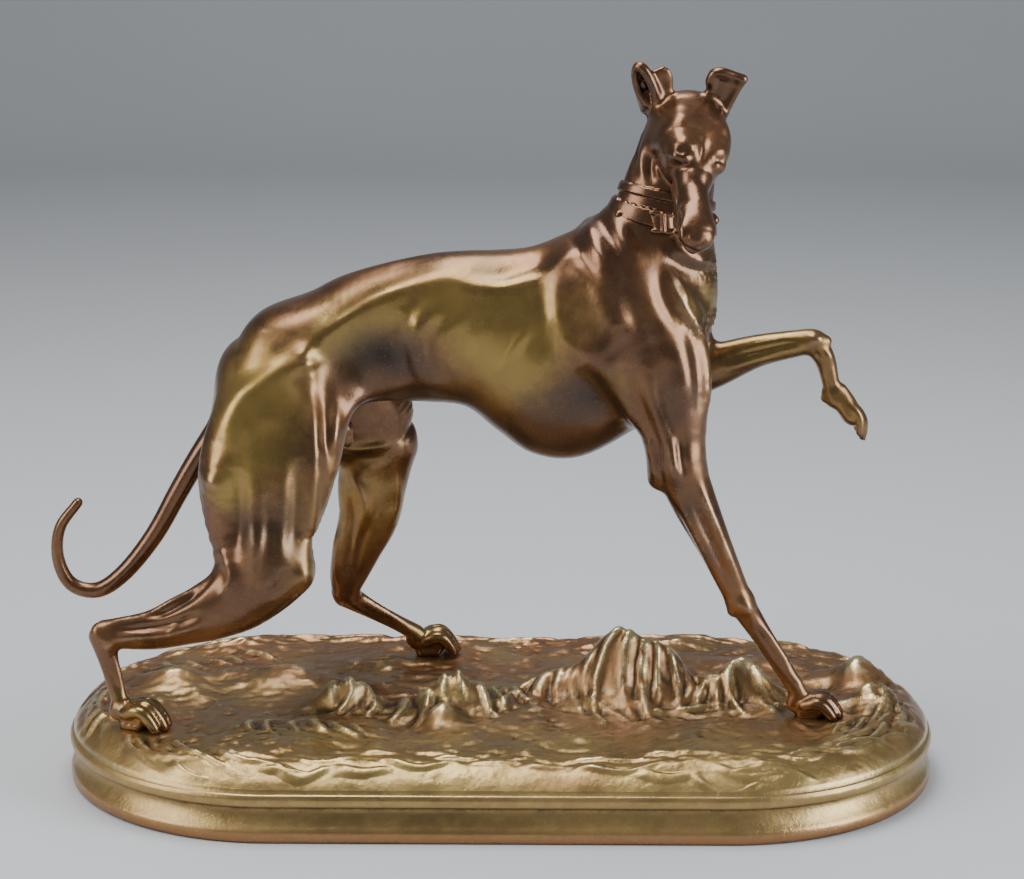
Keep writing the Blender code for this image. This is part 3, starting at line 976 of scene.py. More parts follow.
# Patches of painted shade, most of them in hollows: the flank, behind the elbow, under the belly,
# on the forearm, in the throat and inside the ear. The ones on the thigh also follow darker streaks
# of its patina.
SHADE_AND_STREAKS = (
    Touch((-34, 96), 8.0, 0.8), Touch((-25, 96), 7.0, 0.7), Touch((-16, 88), 9.0, 0.5),
    Touch((24, 86), 9.0, 0.9), Touch((8, 76), 12.0, 0.7), Touch((-2, 118), 5.0, 0.4),
    Touch((-63, 54), 4.5, 0.7), Touch((-53, 54), 7.0, 0.55), Touch((-56, 43), 6.0, 0.4),
    Touch((46, 82), 6.0, 0.3), Touch((-75, 32), 8.0, 0.25),
    Touch((37, 148), 4.0, 0.5), Touch((48.5, 56), 3.4, 0.6), Touch((54, 45), 3.2, 0.6),
    Touch((44, 90), 6.0, 0.35), Touch((37.3, 162.8), 2.4, 0.9),
)


@dataclass(frozen=True)
class Whippet:
    """The dog with its collar: the body, and the head above the collar, cast as one."""

    trunk: tuple[Station, ...] = (
        (-67, 2, 84, 10.5, 12.5), (-61, 2, 87.5, 12.5, 14.5), (-53, 2, 91, 13, 15.5),
        (-42, 1, 96.5, 13.5, 16.8), (-30, 0, 99.6, 12.5, 18), (-18, 0, 100.8, 12.5, 19.4),
        (-8, 0, 100.6, 13.5, 20.4), (0, 0, 97.6, 15, 23.6), (9, 0, 95, 16.8, 27.2),
        (20, 0, 96.5, 17.5, 30), (31, 0, 100.8, 17, 29.6), (41, 0, 103, 13.5, 24),
        (49, 0, 107, 9, 14.5),
    )
    neck: tuple[Station, ...] = (
        (36, 0, 109, 14, 17), (40, 0, 121, 11.5, 16), (42.6, 0, 132, 9.5, 12.6),
        (45, 1.5, 143, 8.5, 10.8), (46.2, 2, 151, 8, 9.3),
    )
    tail: tuple[Station, ...] = (
        (-63, 2, 85, 5, 5), (-69.5, 0, 78, 3.6, 3.7), (-77.5, -1, 67, 2.9, 2.9),
        (-83.5, -1, 57, 2.7, 2.7), (-90, -1, 45.5, 2.5, 2.5), (-98, -1, 35.3, 2.3, 2.3),
        (-105.5, -1, 30, 2.1, 2.1), (-112.5, -1, 31.5, 1.9, 1.9), (-115.8, -1, 38.5, 1.7, 1.7),
        (-115, -1, 47, 1.5, 1.5), (-110, -1, 54, 1.3, 1.3),
    )
    body_cell: float = 0.71
    head_cell: float = 0.38
    stance_back: float = 0.0009
    ground_level: float = 0.019
    unit: float = MILLIMETRE
    broad_width: float = 1.6
    broad_share: float = 0.25
    full_stroke: float = 1.2
    stroke_tone: float = 0.4
    full_relief: float = 0.16
    relief_tone: float = 0.35
    # Painted shade on the undersides: how far the skin must face down, the heights it fades in
    # over, and its strength.
    underside_shade_facing: Span = (0.0, 0.8)
    underside_shade_heights: Span = (45.0, 70.0)
    underside_shade_strength: float = 0.9

    RELIEF_ROUNDS = 6
    TONE_ROUNDS = 3

    def trunk_limb(self) -> Limb:
        """Rump to breast, with the lower neck and the tail.

        Returns:
            The trunk, with a blend of its own at each joining.
        """
        return Limb("trunk", (
            Form(self.trunk, 4.0, upright=True, keel=0.12, cap=6.5),
            Form(((31, 0, 98, 9, 12), (33.5, 0, 103.5, 12, 15.5),
                  *self.neck_rows(109.5, 115, 121, 126.5, 130.4)), 8.0, cap=0.3),
            Form(self.tail, 5.0),
        ))

    def near_hind(self) -> Limb:
        """The hind leg towards the viewer, stretched back.

        Returns:
            The leg from the hip to the pastern.
        """
        return Limb("near hind", (
            Form(((-52, -3, 97, 8, 12), (-54, -7.5, 87.5, 9.6, 14), (-56.4, -13, 77, 9.6, 17),
                  (-59, -16, 65, 9, 17.3), (-60, -18, 51, 8, 14), (-57, -20, 41, 6.5, 9.5))),
            Form(((-57, -20, 44, 6.6, 10), (-64, -21, 36, 6.2, 9.3), (-72, -21.5, 31.6, 5.4, 8.2),
                  (-80, -22, 28.6, 4.4, 6.7), (-89, -22.5, 25.9, 3.5, 5.2),
                  (-100.5, -23, 25, 2.8, 3.7)), 7.0),
            Form(((-101.5, -23, 24.5, 3, 3.5), (-99.8, -23.3, 17, 2.2, 2.5),
                  (-97.8, -23.8, 9, 2.1, 2.2), (-96.2, -24.3, 5.5, 2.5, 2.4)), 2.0),
            Form(((-41.5, -9, 85, 3.5, 5.5), (-43, -13, 78, 3, 4.5), (-45.5, -15.5, 69, 2.5, 3.5)),
                 4.0),
        ), 9.0)

    def off_hind(self) -> Limb:
        """The hind leg away from the viewer, stepping under the belly.

        Returns:
            The leg from the hip to the pastern.
        """
        return Limb("off hind", (
            Form(((-52, 6, 96, 8, 11), (-51, 11, 87, 9, 13), (-47, 15, 81, 9.5, 17),
                  (-40, 18, 75, 9, 17.3), (-34, 20, 69, 8, 14), (-31, 21, 65, 6.5, 9.5))),
            Form(((-32, 21, 64, 6.6, 10), (-34, 21.5, 53, 6.2, 9.3), (-35, 22, 44, 5.4, 8.2),
                  (-38.2, 23, 35, 4.4, 6.7), (-40.8, 24, 27, 3.5, 5.2),
                  (-42, 25, 21.5, 2.8, 3.7)), 5.0),
            Form(((-41.8, 26, 20.3, 3, 3.5), (-35, 28.5, 15.3, 2.2, 2.5),
                  (-28, 31, 10.7, 2.1, 2.2), (-23, 32.8, 7.2, 2.5, 2.4)), 2.0),
            Form(((-40, 1.5, 73, 2.4, 2.4), (-39.4, 1.5, 70.5, 2.0, 2.0)), 2.0),
        ), 8.5)

    def near_fore(self) -> Limb:
        """The foreleg towards the viewer, which carries the weight.

        Returns:
            The leg from the shoulder to the pastern.
        """
        return Limb("near fore", (
            Form(((26, -8, 116.5, 6, 9), (35, -11, 103, 7.5, 13), (42, -12, 91, 7.5, 12.5),
                  (45, -13, 79, 6.5, 9), (46, -14, 68, 5.5, 7))),
            Form(((46.5, -14, 69, 5.3, 6.6), (51, -14, 58, 4.6, 5.8), (57.3, -13.5, 44.5, 3.8, 4.3),
                  (63.2, -13, 31.5, 3.2, 3.4))),
            Form(((63.5, -13, 31, 3.3, 3.5), (69.6, -13, 21.5, 2.6, 2.7),
                  (77, -13, 10, 2.4, 2.4), (79.2, -13.4, 6.5, 2.5, 2.4)), 2.0),
            Form(((44, -13, 68, 3.2, 3.4), (41.0, -13.6, 63.6, 1.5, 1.9)), 3.0),
            Form(((25.6, -15.9, 97.6, 3.4, 3.4), (27.6, -16.4, 95.2, 3.3, 3.3)), 3.5),
            Form(((62.4, -13.6, 31, 1.6, 1.6), (61.4, -14, 28.8, 1.3, 1.3)), 1.0),
        ), 10.0)

    def off_fore(self) -> Limb:
        """The lifted foreleg.

        Returns:
            The leg from the shoulder to the pastern.
        """
        return Limb("off fore", (
            Form(((26, 8, 116.5, 6, 9), (38, 11, 103, 7.5, 13), (45, 11, 92, 7.5, 12.5),
                  (47, 11, 86, 6.5, 9), (47.5, 11, 82, 5.5, 7))),
            Form(((47.5, 10, 85.5, 5.3, 6.6), (57, 9, 89, 4.6, 5.8), (68, 8, 93.2, 3.8, 4.3),
                  (80, 7, 95.8, 3.2, 3.4))),
            Form(((82.6, 7, 95.8, 3.3, 3.3), (85.6, 7, 91, 2.6, 2.7), (87.4, 7, 84, 2.2, 2.2),
                  (88.0, 7, 80.6, 2.3, 2.2)), 1.5),
            Form(((82, 6.4, 97.4, 1.6, 1.6), (85.6, 6.4, 96.2, 1.5, 1.5)), 1.0),
            Form(((86.2, 7, 82.4, 1.3, 1.3), (85.8, 7, 80.8, 1.1, 1.1)), 1.0),
        ), 5.0)

    def skull(self) -> Limb:
        """Skull, muzzle, nose and brows, with the eyes in their sockets.

        Returns:
            The skull, without the ears.
        """
        forms = [
            head_form((-8, -1.0, 0.8, 9.4, 6.8), (0, -1.0, 0.3, 9.7, 8.3),
                      (4, -1.2, -0.2, 9.0, 7.9), (8, -1.2, -0.8, 7.9, 7.2),
                      (11, -1.3, -1.3, 6.0, 6.2), (13.5, -1.0, -1.8, 4.2, 4.8)),
            head_form((9, -0.5, -1.5, 6.0, 6.0), (14, 0.0, -1.8, 4.4, 4.3),
                      (18, 0.7, -1.9, 4.0, 3.4), (25, 1.1, -2.5, 4.3, 3.4),
                      (31, 1.3, -3.1, 4.5, 3.3), (33, 1.4, -3.4, 3.9, 2.9), axes=MUZZLE),
            head_form((25.5, 1.1, -1.6, 2.4, 1.0), (29.5, 1.1, -0.8, 3.1, 1.3),
                      (32.4, 1.1, -1.8, 3.9, 1.7), (34.2, 1.0, -2.8, 3.4, 1.5),
                      blend=3.4, axes=FACE),
            head_form((12, 0, -6.4, 3.4, 2.0), (20, 0, -7.2, 2.8, 1.6), (30, 0, -7.0, 2.6, 1.3),
                      blend=1.0, axes=FACE),
        ]
        for sign, bulge in ((-1.0, 0.0), (1.0, -0.6)):
            forms += [
                head_form((3.5, 5.2 * sign, 3.9 + bulge, 2.4, 2.2),
                          (8.4, 4.6 * sign, 4.2 + bulge, 2.2, 2.0), blend=4.5, axes=FACE),
                head_form((11.2, 5.6 * sign, 2.7, 1.6, 1.5), (11.8, 4.2 * sign, 3.3, 1.6, 1.5),
                          blend=1.6, axes=FACE),
            ]
        return Limb("skull", tuple(forms), 2.5)

    def near_ear(self) -> Limb:
        """The ear on the viewer's left: a flap folded back, and a rim that curls round.

        Returns:
            The ear.
        """
        return Limb("near ear", (
            Form(((43.0, 3.5, 154.5, 2.4, 2.6), (42.0, 2.0, 158.6, 2.3, 1.6),
                  (41.7, 0.9, 162.6, 2.7, 1.15), (41.3, 0.0, 165.6, 2.9, 1.0),
                  (40.6, -0.3, 167.0, 2.2, 0.9)), 1.4, lateral=(1, 0, 0)),
            Form(((41.2, 1.6, 157, 1.6, 1.5), (40.0, -0.4, 161.6, 1.35, 1.3),
                  (38.3, -1.3, 165.6, 1.35, 1.3), (36.6, -1.3, 168.0, 1.4, 1.3),
                  (35.4, -0.6, 168.2, 1.3, 1.2), (34.9, 0.5, 166.4, 1.1, 1.1),
                  (35.2, 1.4, 164.0, 1.0, 1.1), (36.0, 1.9, 161.6, 1.1, 1.2),
                  (38.0, 2.4, 158.8, 1.8, 1.7)), 1.6),
            Form(((39.0, 3.7, 157.4, 2.8, 2.0), (37.6, 3.4, 161.6, 2.6, 1.3),
                  (36.9, 2.8, 165.2, 2.1, 1.1), (36.6, 1.8, 167.0, 1.5, 1.0)), 1.2,
                 lateral=(1, 0, 0)),
            Form(((38.3, 2.2, 160.4, 0.9, 0.9), (38.0, 2.0, 161.2, 0.9, 0.8)), 0.5),
            Form(((37.4, 1.8, 163.2, 0.8, 0.8), (37.0, 1.5, 164.0, 0.8, 0.7)), 0.5),
        ), 2.0)

    def off_ear(self) -> Limb:
        """The ear on the viewer's right: a flap that stands open, its top rolled over.

        Returns:
            The ear.
        """
        return Limb("off ear", (
            Form(((54.2, 3.0, 154.5, 3.0, 2.6), (55.4, 2.0, 158.8, 2.8, 1.5),
                  (57.0, 1.2, 162.6, 3.4, 1.2), (58.2, 0.6, 165.2, 4.0, 1.1)), 1.4,
                 lateral=(1, 0, 0)),
            Form(((57.6, 1.6, 156.6, 1.2, 1.2), (60.0, 0.9, 161.0, 0.9, 0.9),
                  (61.9, 0.3, 164.8, 0.8, 0.85)), 1.6),
            Form(((62.0, 0.2, 165.2, 0.9, 0.9), (59.4, -0.1, 166.2, 1.1, 1.0),
                  (56.6, -0.4, 166.9, 1.35, 1.2), (54.6, -0.2, 166.4, 1.3, 1.2),
                  (53.9, 0.3, 164.6, 1.0, 1.0)), 1.8),
            Form(((54.0, 0.4, 164.6, 0.95, 0.95), (53.8, 1.0, 161.4, 0.9, 0.95),
                  (53.2, 2.0, 158.0, 1.5, 1.5)), 1.6),
        ), 2.0)

    def neck_rows(self, *heights: float, proud: float = 0.0) -> tuple[Station, ...]:
        """Read the neck's stations.

        Args:
            heights: The heights to read it at.
            proud: How much wider than the neck the stations are.

        Returns:
            A station for each height.
        """
        neck = smooth_rows(np.array(self.neck, float), 12)
        rows = []
        for height in heights:
            row = [float(np.interp(height, neck[:, 2], neck[:, k])) for k in range(5)]
            rows.append((*row[:3], row[3] + proud, row[4] + proud))
        return tuple(rows)

    def strap(self, low: float, high: float, proud: float) -> Form:
        """A strap round the neck between two heights, that stands proud with square edges."""
        return Form(self.neck_rows(low, high, proud=proud), 0.9, cap=0.8)

    def collar(self) -> Limb:
        """A broad strap with its buckle and rivet, and a narrower one above it.

        Returns:
            The collar, whose parts keep their edges.
        """
        return Limb("collar", (
            self.strap(128.6, 132.2, 1.1),
            self.strap(134.4, 136.2, 0.8),
            Form(((41.6, -10.5, 132.6, 2.4, 0.8), (41.9, -10.9, 128.6, 2.4, 0.8)), 0.2,
                 lateral=(1, 0, 0), cap=0.6),
            Form(((39.2, -10.9, 133.0, 0.6, 0.6), (44.0, -10.7, 132.6, 0.6, 0.6)), 0.2),
            Form(((39.4, -11.3, 128.4, 0.6, 0.6), (44.2, -11.2, 128.2, 0.6, 0.6)), 0.2),
            Form(((41.8, -11.5, 132.8, 0.45, 0.45), (42.0, -11.8, 128.4, 0.45, 0.45)), 0.2),
            Form(((30.9, -6.5, 131.8, 1.0, 1.0), (31.0, -6.8, 131.7, 1.0, 1.0)), 0.2),
            Form(((54.6, -4.4, 130.6, 1.3, 1.3), (55.2, -5.2, 130.0, 1.2, 1.2)), 0.6),
        ), 0.25)

    def body_clay(self) -> Clay:
        """All that lies below the collar.

        Returns:
            The body, with its four paws.
        """
        return Clay((self.trunk_limb(), self.near_hind(), self.off_hind(), self.near_fore(),
                     self.off_fore(), NEAR_HIND_PAW.limb(), OFF_HIND_PAW.limb(),
                     NEAR_FORE_PAW.limb(), LIFTED_PAW.limb()))

    def head_clay(self) -> Clay:
        """The head with the upper neck and the collar.

        Returns:
            The head, down to the lower edge of the collar.
        """
        rows = (*self.neck_rows(130.2, 132, 136, 140, 144, 148, 150),
                (46.4, 2.2, 153, 7.3, 8.2), (46.8, 2.4, 156, 5.4, 5.8))
        upper = Limb("upper neck", (Form(rows, 2.0, cap=0.5),))
        return Clay((upper, self.skull(), self.near_ear(), self.off_ear(), self.collar()))

    def strokes(self) -> tuple[tuple[Stroke, ...], ...]:
        """The strokes, the broad ones in the first group.

        Returns:
            Two groups, told apart by the width of their strokes.
        """
        every = (
            *TRUNK_STROKES, *mirrored(TRUNK_STROKES), *FLANK_STROKES, *SHOULDER_STROKES,
            *mirrored(SHOULDER_STROKES), *NECK_STROKES, *mirrored(NECK_STROKES),
            *THROAT_STROKES, *mirrored(THROAT_STROKES), *NEAR_HIND_STROKES, *OFF_HIND_STROKES,
            *OFF_THIGH_STROKES, *NEAR_FORE_STROKES, *OFF_FORE_STROKES, *BROW_STROKES,
            *EYE_STROKES, *CHEEK_STROKES, *NOSE_STROKES,
        )
        return (tuple(stroke for stroke in every if stroke.width > self.broad_width),
                tuple(stroke for stroke in every if stroke.width <= self.broad_width))

    def sculpt(self, clay: Clay, cell: float) -> tuple[Skin, Array]:
        """Wrap a body in its skin and draw the strokes over it.

        Args:
            clay: The body.
            cell: The size of the skin's cells.

        Returns:
            The skin, and each vertex's tone: how proud it stands, from -1 to 1.
        """
        skin = Skin.around(clay, cell)
        skin.settle(clay, 2)
        proud = np.zeros(len(skin.vertices))
        for group, share in zip(self.strokes(), (self.broad_share, 1.0)):
            normals = skin.normals()
            lift = sum(stroke.lift(skin.vertices, normals) for stroke in group)
            skin.vertices += normals * lift[:, None]
            proud += share * lift
        relief = np.clip(skin.relief(self.RELIEF_ROUNDS) / self.full_relief, -1.0, 1.0)
        tone = (self.stroke_tone * np.clip(proud / self.full_stroke, -1.0, 1.0)
                + self.relief_tone * relief)
        edges = skin.edges()
        for _ in range(self.TONE_ROUNDS):
            tone = skin.averaged(tone, edges)
        return skin, tone

    def dress(self, piece: Piece, skin: Skin, tone: Array) -> None:
        """Paint the tones, the gilt patches and the painted shade on a piece: dark patches in
        hollows and under the trunk, a few of them darker streaks of patina.

        Args:
            piece: The piece.
            skin: Its skin, in the pose's units.
            tone: How proud each vertex stands.
        """
        # Painted shade where the skin faces down, high enough to be on the trunk and not on the
        # lower legs.
        underside_shade_mask = (ease(-skin.normals()[:, 2], *self.underside_shade_facing)
                 * ease(skin.vertices[:, 2], *self.underside_shade_heights))
        paint(piece, "proud", tone)
        paint(piece, "gilt", Touch.over(GILT, skin.vertices))
        paint(piece, "shade_and_copper", np.maximum(Touch.over(SHADE_AND_STREAKS, skin.vertices), self.underside_shade_strength * underside_shade_mask))

    def build(self) -> list[Piece]:
        """Cast the body and the head, and put them into the scene.

        Returns:
            The two pieces.
        """
        origin = np.array([-self.stance_back, 0.0, self.ground_level])
        pieces = []
        for name, clay, cell in (("whippet_body", self.body_clay(), self.body_cell),
                                 ("whippet_head", self.head_clay(), self.head_cell)):
            log.info("%s: %s", name, ", ".join(limb.name for limb in clay.limbs))
            skin, tone = self.sculpt(clay, cell)
            piece = make_object(name, skin.vertices * self.unit + origin,
                                [skin.quads, skin.triangles])
            self.dress(piece, skin, tone)
            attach(piece, "root")
            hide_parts("whippet")
            pieces.append(piece)
        return pieces


@dataclass(frozen=True)
class Mound:
    """A heap of earth: its place, height, and reach along x, frontwards and backwards."""

    place: Place
    height: float
    along: float
    front: float
    back: float

    def at(self, x: Array, y: Array) -> Array:
        """The heap's height over places of the plan.

        Args:
            x: Places along the plan.
            y: Places across it.

        Returns:
            The heights there.
        """
        lean = np.where(y < self.place[1], self.front, self.back)
        return self.height * np.exp(
            -((x - self.place[0]) / self.along) ** 2 - ((y - self.place[1]) / lean) ** 2)


@dataclass(frozen=True)
class Blade:
    """A blade of grass or a fold of earth that lies on the ground and bends as it runs."""

    root: Place
    heading: float
    length: float
    width: float
    height: float
    bend: float = 0.0
    taper: float = 0.7
    wave: float = 0.0

    POINTS = 11
    CROWN = 0.7
    ROOT_END = 0.3
    TIP_DROP = 0.7

    @cached_property
    def line(self) -> Array:
        """The middle line in plan.

        Returns:
            Its points, from the root to the tip.
        """
        share = np.linspace(0.0, 1.0, self.POINTS)
        angle = np.radians(self.heading + self.bend * share
                           + self.wave * np.sin(2.0 * math.pi * share))
        step = self.length / (self.POINTS - 1)
        steps = np.stack([np.cos(angle), np.sin(angle)], 1)[:-1] * step
        return np.array(self.root) + np.vstack([np.zeros((1, 2)), np.cumsum(steps, axis=0)])

    def raise_on(self, x: Array, y: Array, relief: Array) -> None:
        """Raise a relief to the blade where the blade is the higher.

        Args:
            x: Places along the plan.
            y: Places across it.
            relief: The heights there, which are changed.
        """
        low = self.line.min(axis=0) - self.width
        high = self.line.max(axis=0) + self.width
        near = np.flatnonzero((x > low[0]) & (x < high[0]) & (y > low[1]) & (y < high[1]))
        if len(near) == 0:
            return
        place, away = nearest_on_line(np.stack([x[near], y[near]], 1), self.line)
        share = place / (self.POINTS - 1)
        width = self.width * (1.0 - self.taper * share)
        crown = np.clip(1.0 - (away / width) ** 2, 0.0, 1.0)
        rise = (self.height * crown ** self.CROWN * ease(share, 0.0, self.ROOT_END)
                * (1.0 - self.TIP_DROP * share ** 3))
        relief[near] = np.maximum(relief[near], rise)


@dataclass(frozen=True)
class Tuft:
    """Blades that fan out from a line of roots."""

    first: Place
    last: Place
    headings: Span
    count: int
    length: float
    width: float
    height: float
    bend: float = 0.0
    bend_last: float = 0.0
    taper: float = 0.6

    ROOTS_UNEVEN = 0.3
    HEADING_UNEVEN = 5.0
    LENGTH_UNEVEN = 0.18
    WIDTH_UNEVEN = 0.2
    HEIGHT_UNEVEN = 0.25

    def blades(self, draw: np.random.RandomState) -> list[Blade]:
        """Lay the blades out.

        Args:
            draw: Where their unevenness is drawn from.

        Returns:
            The blades, in order from the first root to the last.
        """
        made = []
        for index in range(self.count):
            share = index / max(self.count - 1, 1)
            uneven = draw.uniform(-1.0, 1.0, 4)
            root = tuple(
                (1 - share) * a + share * b + self.ROOTS_UNEVEN * self.width * uneven[k]
                for k, (a, b) in enumerate(zip(self.first, self.last))
            )
            heading = (1 - share) * self.headings[0] + share * self.headings[1]
            bend = (1 - share) * self.bend + share * self.bend_last
            made.append(Blade(
                root, heading + self.HEADING_UNEVEN * uneven[2],
                self.length * (1.0 + self.LENGTH_UNEVEN * uneven[3]),
                self.width * (1.0 + self.WIDTH_UNEVEN * uneven[0]),
                self.height * (1.0 + self.HEIGHT_UNEVEN * uneven[1]), bend, self.taper,
            ))
        return made


@dataclass(frozen=True)
class Whorl:
    """A place that the strands of the ground flow around."""

    place: Place
    strength: float
    reach: float


class Strands:
    """Fine strands that run along a flow over the plan."""

    STEP = 0.55
    STEPS = 9
    GAIN = 2.6
    WAVES = ((0.34, 0.115, 0.05, 0.0), (0.25, 0.07, -0.13, 2.0))

    def __init__(self, whorls: tuple[Whorl, ...], seed: int) -> None:
        """Keep what the strands flow around, and draw their grain."""
        self.whorls = whorls
        self.noise = Noise(seed)

    def direction(self, x: Array, y: Array) -> tuple[Array, Array]:
        """Work out which way the strands run.

        Args:
            x: Places along the plan.
            y: Places across it.

        Returns:
            The direction's two parts, of length 1.
        """
        slope_x = sum(size * np.cos(along * x + across * y + start)
                      for size, along, across, start in self.WAVES)
        slope_y = np.ones_like(x)
        for whorl in self.whorls:
            across, up = x - whorl.place[0], y - whorl.place[1]
            fall = whorl.strength * np.exp(-(across ** 2 + up ** 2) / whorl.reach ** 2)
            slope_x -= 2.0 * across / whorl.reach ** 2 * fall
            slope_y -= 2.0 * up / whorl.reach ** 2 * fall
        length = np.hypot(slope_x, slope_y) + 1e-9
        return slope_y / length, -slope_x / length

    def at(self, x: Array, y: Array, width: float) -> Array:
        """Read the strands' height.

        Args:
            x: Places along the plan.
            y: Places across it.
            width: How wide a strand is.

        Returns:
            Heights from -1 to 1.
        """
        total = self.noise.at(x / width, y / width)
        for sign in (-1.0, 1.0):
            across, up = x.copy(), y.copy()
            for _ in range(self.STEPS):
                run, rise = self.direction(across, up)
                across += sign * self.STEP * width * run
                up += sign * self.STEP * width * rise
                total += self.noise.at(across / width, up / width)
        return np.tanh(self.GAIN * total / (2 * self.STEPS + 1))


@dataclass(frozen=True)
class Base:
    """The moulded oval with its rough ground, one casting.

    Places and heights of the relief are in parts, 230ths of the base's length.
    The paws' places are in millimetres, and so are the profile's insets and
    heights, which its tones follow.
    """

    length: float
    depth: float
    ground_level: float = 0.019
    ground_inset: float = 0.0011
    rim_top: float = 0.0128
    bank_run: float = 0.008
    columns: int = 280
    rows: int = 216
    rim_strands: int = 120
    rim_insets: Span = (4.0, 13.0)
    rim_leans: Span = (-16.0, 24.0)
    rim_lengths: Span = (12.0, 26.0)
    rim_widths: Span = (0.8, 1.7)
    rim_heights: Span = (0.5, 1.1)
    rim_waves: Span = (-22.0, 22.0)
    inner_run: Span = (3.0, 12.0)
    edge_run: Span = (0.0008, 0.0024)
    foot_run: Span = (0.0, 4.0)
    foot_top: float = 5.0
    paw_clearance: Span = (4.0, 7.5)
    paw_level: float = 0.35
    front_run: Span = (-0.01, 0.05)
    full_relief: float = 0.00034
    patches_to_metre: float = 90.0
    copper: float = 0.85
    moulding_gilt: float = 0.45
    paws: tuple[Place, ...] = (
        (-96.5, -25.0), (-92.0, -26.0), (-87.5, -26.5), (-21.5, 34.0), (-17.0, 35.0),
        (-14.0, 35.5), (78.6, -13.8), (83.1, -14.2), (86.6, -14.6),
    )
    mounds: tuple[Mound, ...] = (
        Mound((32, 3), 17.5, 9.0, 10.0, 4.5), Mound((45, 4), 10.8, 7.0, 8.0, 5.0),
        Mound((64, -1), 10.8, 9.0, 4.5, 5.0), Mound((16, 0), 5.2, 8.0, 5.0, 5.0),
        Mound((-12, -9), 8.7, 8.0, 5.5, 5.0), Mound((-41, -9), 7.3, 9.0, 4.5, 4.5),
        Mound((-15, -20), 4.9, 4.5, 3.5, 3.5), Mound((-60, 12), 3.8, 16.0, 9.0, 9.0),
        Mound((97, 14), 7.3, 6.0, 6.0, 6.0), Mound((98, -6), 6.3, 6.0, 6.0, 6.0),
        Mound((66, 24), 2.1, 22.0, 9.0, 8.0), Mound((-88, 8), 3.5, 9.0, 9.0, 9.0),
    )
    tufts: tuple[Tuft, ...] = (
        Tuft((17, 3), (29, 5), (-178, -168), 5, 24, 1.9, 1.5, 112, 124, 0.3),
        Tuft((32, 6), (41, 5), (-164, -112), 4, 26, 2.0, 1.7, 116, 60, 0.3),
        Tuft((42, 5), (50, 3), (-84, -36), 4, 15, 1.9, 1.6, -24, -50, 0.4),
        Tuft((20, -8), (34, -14), (-20, -6), 3, 22, 1.6, 0.9, -30, 40, 0.5),
        Tuft((54, -1), (60, 0), (-140, -84), 4, 12, 1.8, 1.6, 34, 20),
        Tuft((61, 1), (70, 0), (-52, -28), 4, 33, 2.0, 1.4, -8, 16, 0.5),
        Tuft((-45, -4), (-37, -5), (-92, -60), 3, 11, 2.0, 1.7, 16, 10),
        Tuft((-35, -4), (-22, -6), (-104, -64), 4, 15, 1.9, 1.3, -44, -64),
        Tuft((-22, 1), (2, 3), (-118, -80), 7, 18, 2.0, 1.8, 46, 26),
        Tuft((-64, -22), (-38, -24), (-120, -80), 6, 11, 1.7, 1.2, 76, 76),
        Tuft((4, 4), (18, 5), (-132, -122), 4, 15, 2.0, 1.4, 44, 44),
        Tuft((88, -6), (100, -20), (-156, -96), 7, 15, 1.5, 1.5, 74, -44),
        Tuft((100, 6), (104, -12), (-70, -112), 4, 28, 1.9, 1.4, -28, -40),
        Tuft((-104, -14), (-84, -34), (-150, -70), 9, 11, 1.6, 1.2, 30, 30),
        Tuft((-100, 22), (-74, 34), (-60, -20), 6, 16, 1.8, 1.1, 50, -40),
    )
    whorls: tuple[Whorl, ...] = (
        Whorl((-30, -14), 9.0, 9.0), Whorl((-17, -22), -6.0, 5.0), Whorl((52, -14), 8.0, 9.0),
        Whorl((92, -16), -9.0, 8.0), Whorl((-62, -22), 7.0, 9.0), Whorl((4, -14), -7.0, 9.0),
        Whorl((20, -34), 6.0, 9.0), Whorl((-85, 14), 6.0, 10.0), Whorl((70, 20), -6.0, 10.0),
        Whorl((0, 26), 6.0, 12.0),
    )
    # The moulding's rings from the top down: inset and height in millimetres, then a tone. The
    # tones grow paler down the cove as a painted highlight, and are dark in the groove under the
    # bead and at the foot.
    profile: tuple[Point, ...] = (
        (0.95, 12.95, 0.4), (0.62, 12.85, 0.55), (0.42, 12.6, 0.3), (0.3, 12.35, -0.4),
        (0.12, 12.1, 0.0), (0.0, 11.6, 0.15), (0.0, 10.8, 0.05), (0.16, 10.1, -0.2),
        (0.55, 9.6, -0.5), (1.3, 9.3, -0.9), (2.3, 9.1, -1.0), (2.7, 8.75, -0.9),
        (2.72, 8.2, -0.5), (2.5, 7.2, -0.2), (2.0, 6.0, 0.0), (1.4, 4.95, 0.1),
        (0.72, 4.05, 0.2), (0.24, 3.45, 0.35), (0.02, 2.9, 0.25), (0.0, 2.0, 0.0),
        (0.04, 1.1, -0.1), (0.3, 0.4, -0.5), (0.8, 0.0, -0.9),
    )

    BROAD_SEED, FINE_SEED, STRAND_SEED, BLADE_SEED, PATCH_SEED = 3, 8, 11, 5, 21
    RELIEF_ROUNDS = 8

    @property
    def part(self) -> float:
        """The relief's own unit, in metres."""
        return self.length / 230.0

    @property
    def straight(self) -> float:
        """Half the length of the oval's straight sides, in metres."""
        return 0.5 * (self.length - self.depth)

    def oval(self, u: Array, v: Array, inset: float) -> tuple[Array, Array]:
        """Map a square onto the oval plan.

        Args:
            u: Shares along the oval, from -1 to 1.
            v: Shares across it, from -1 to 1.
            inset: How far the outline is set in.

        Returns:
            The places along x and along y, in metres.
        """
        radius = 0.5 * self.depth - inset
        angle = 0.5 * math.pi * v
        return u * (self.straight + radius * np.cos(angle)), radius * np.sin(angle)

    def inset(self, x: Array, y: Array) -> Array:
        """How far inside the oval's outline places are, in metres."""
        past = np.maximum(np.abs(x) - self.straight, 0.0)
        return 0.5 * self.depth - np.hypot(past, y)

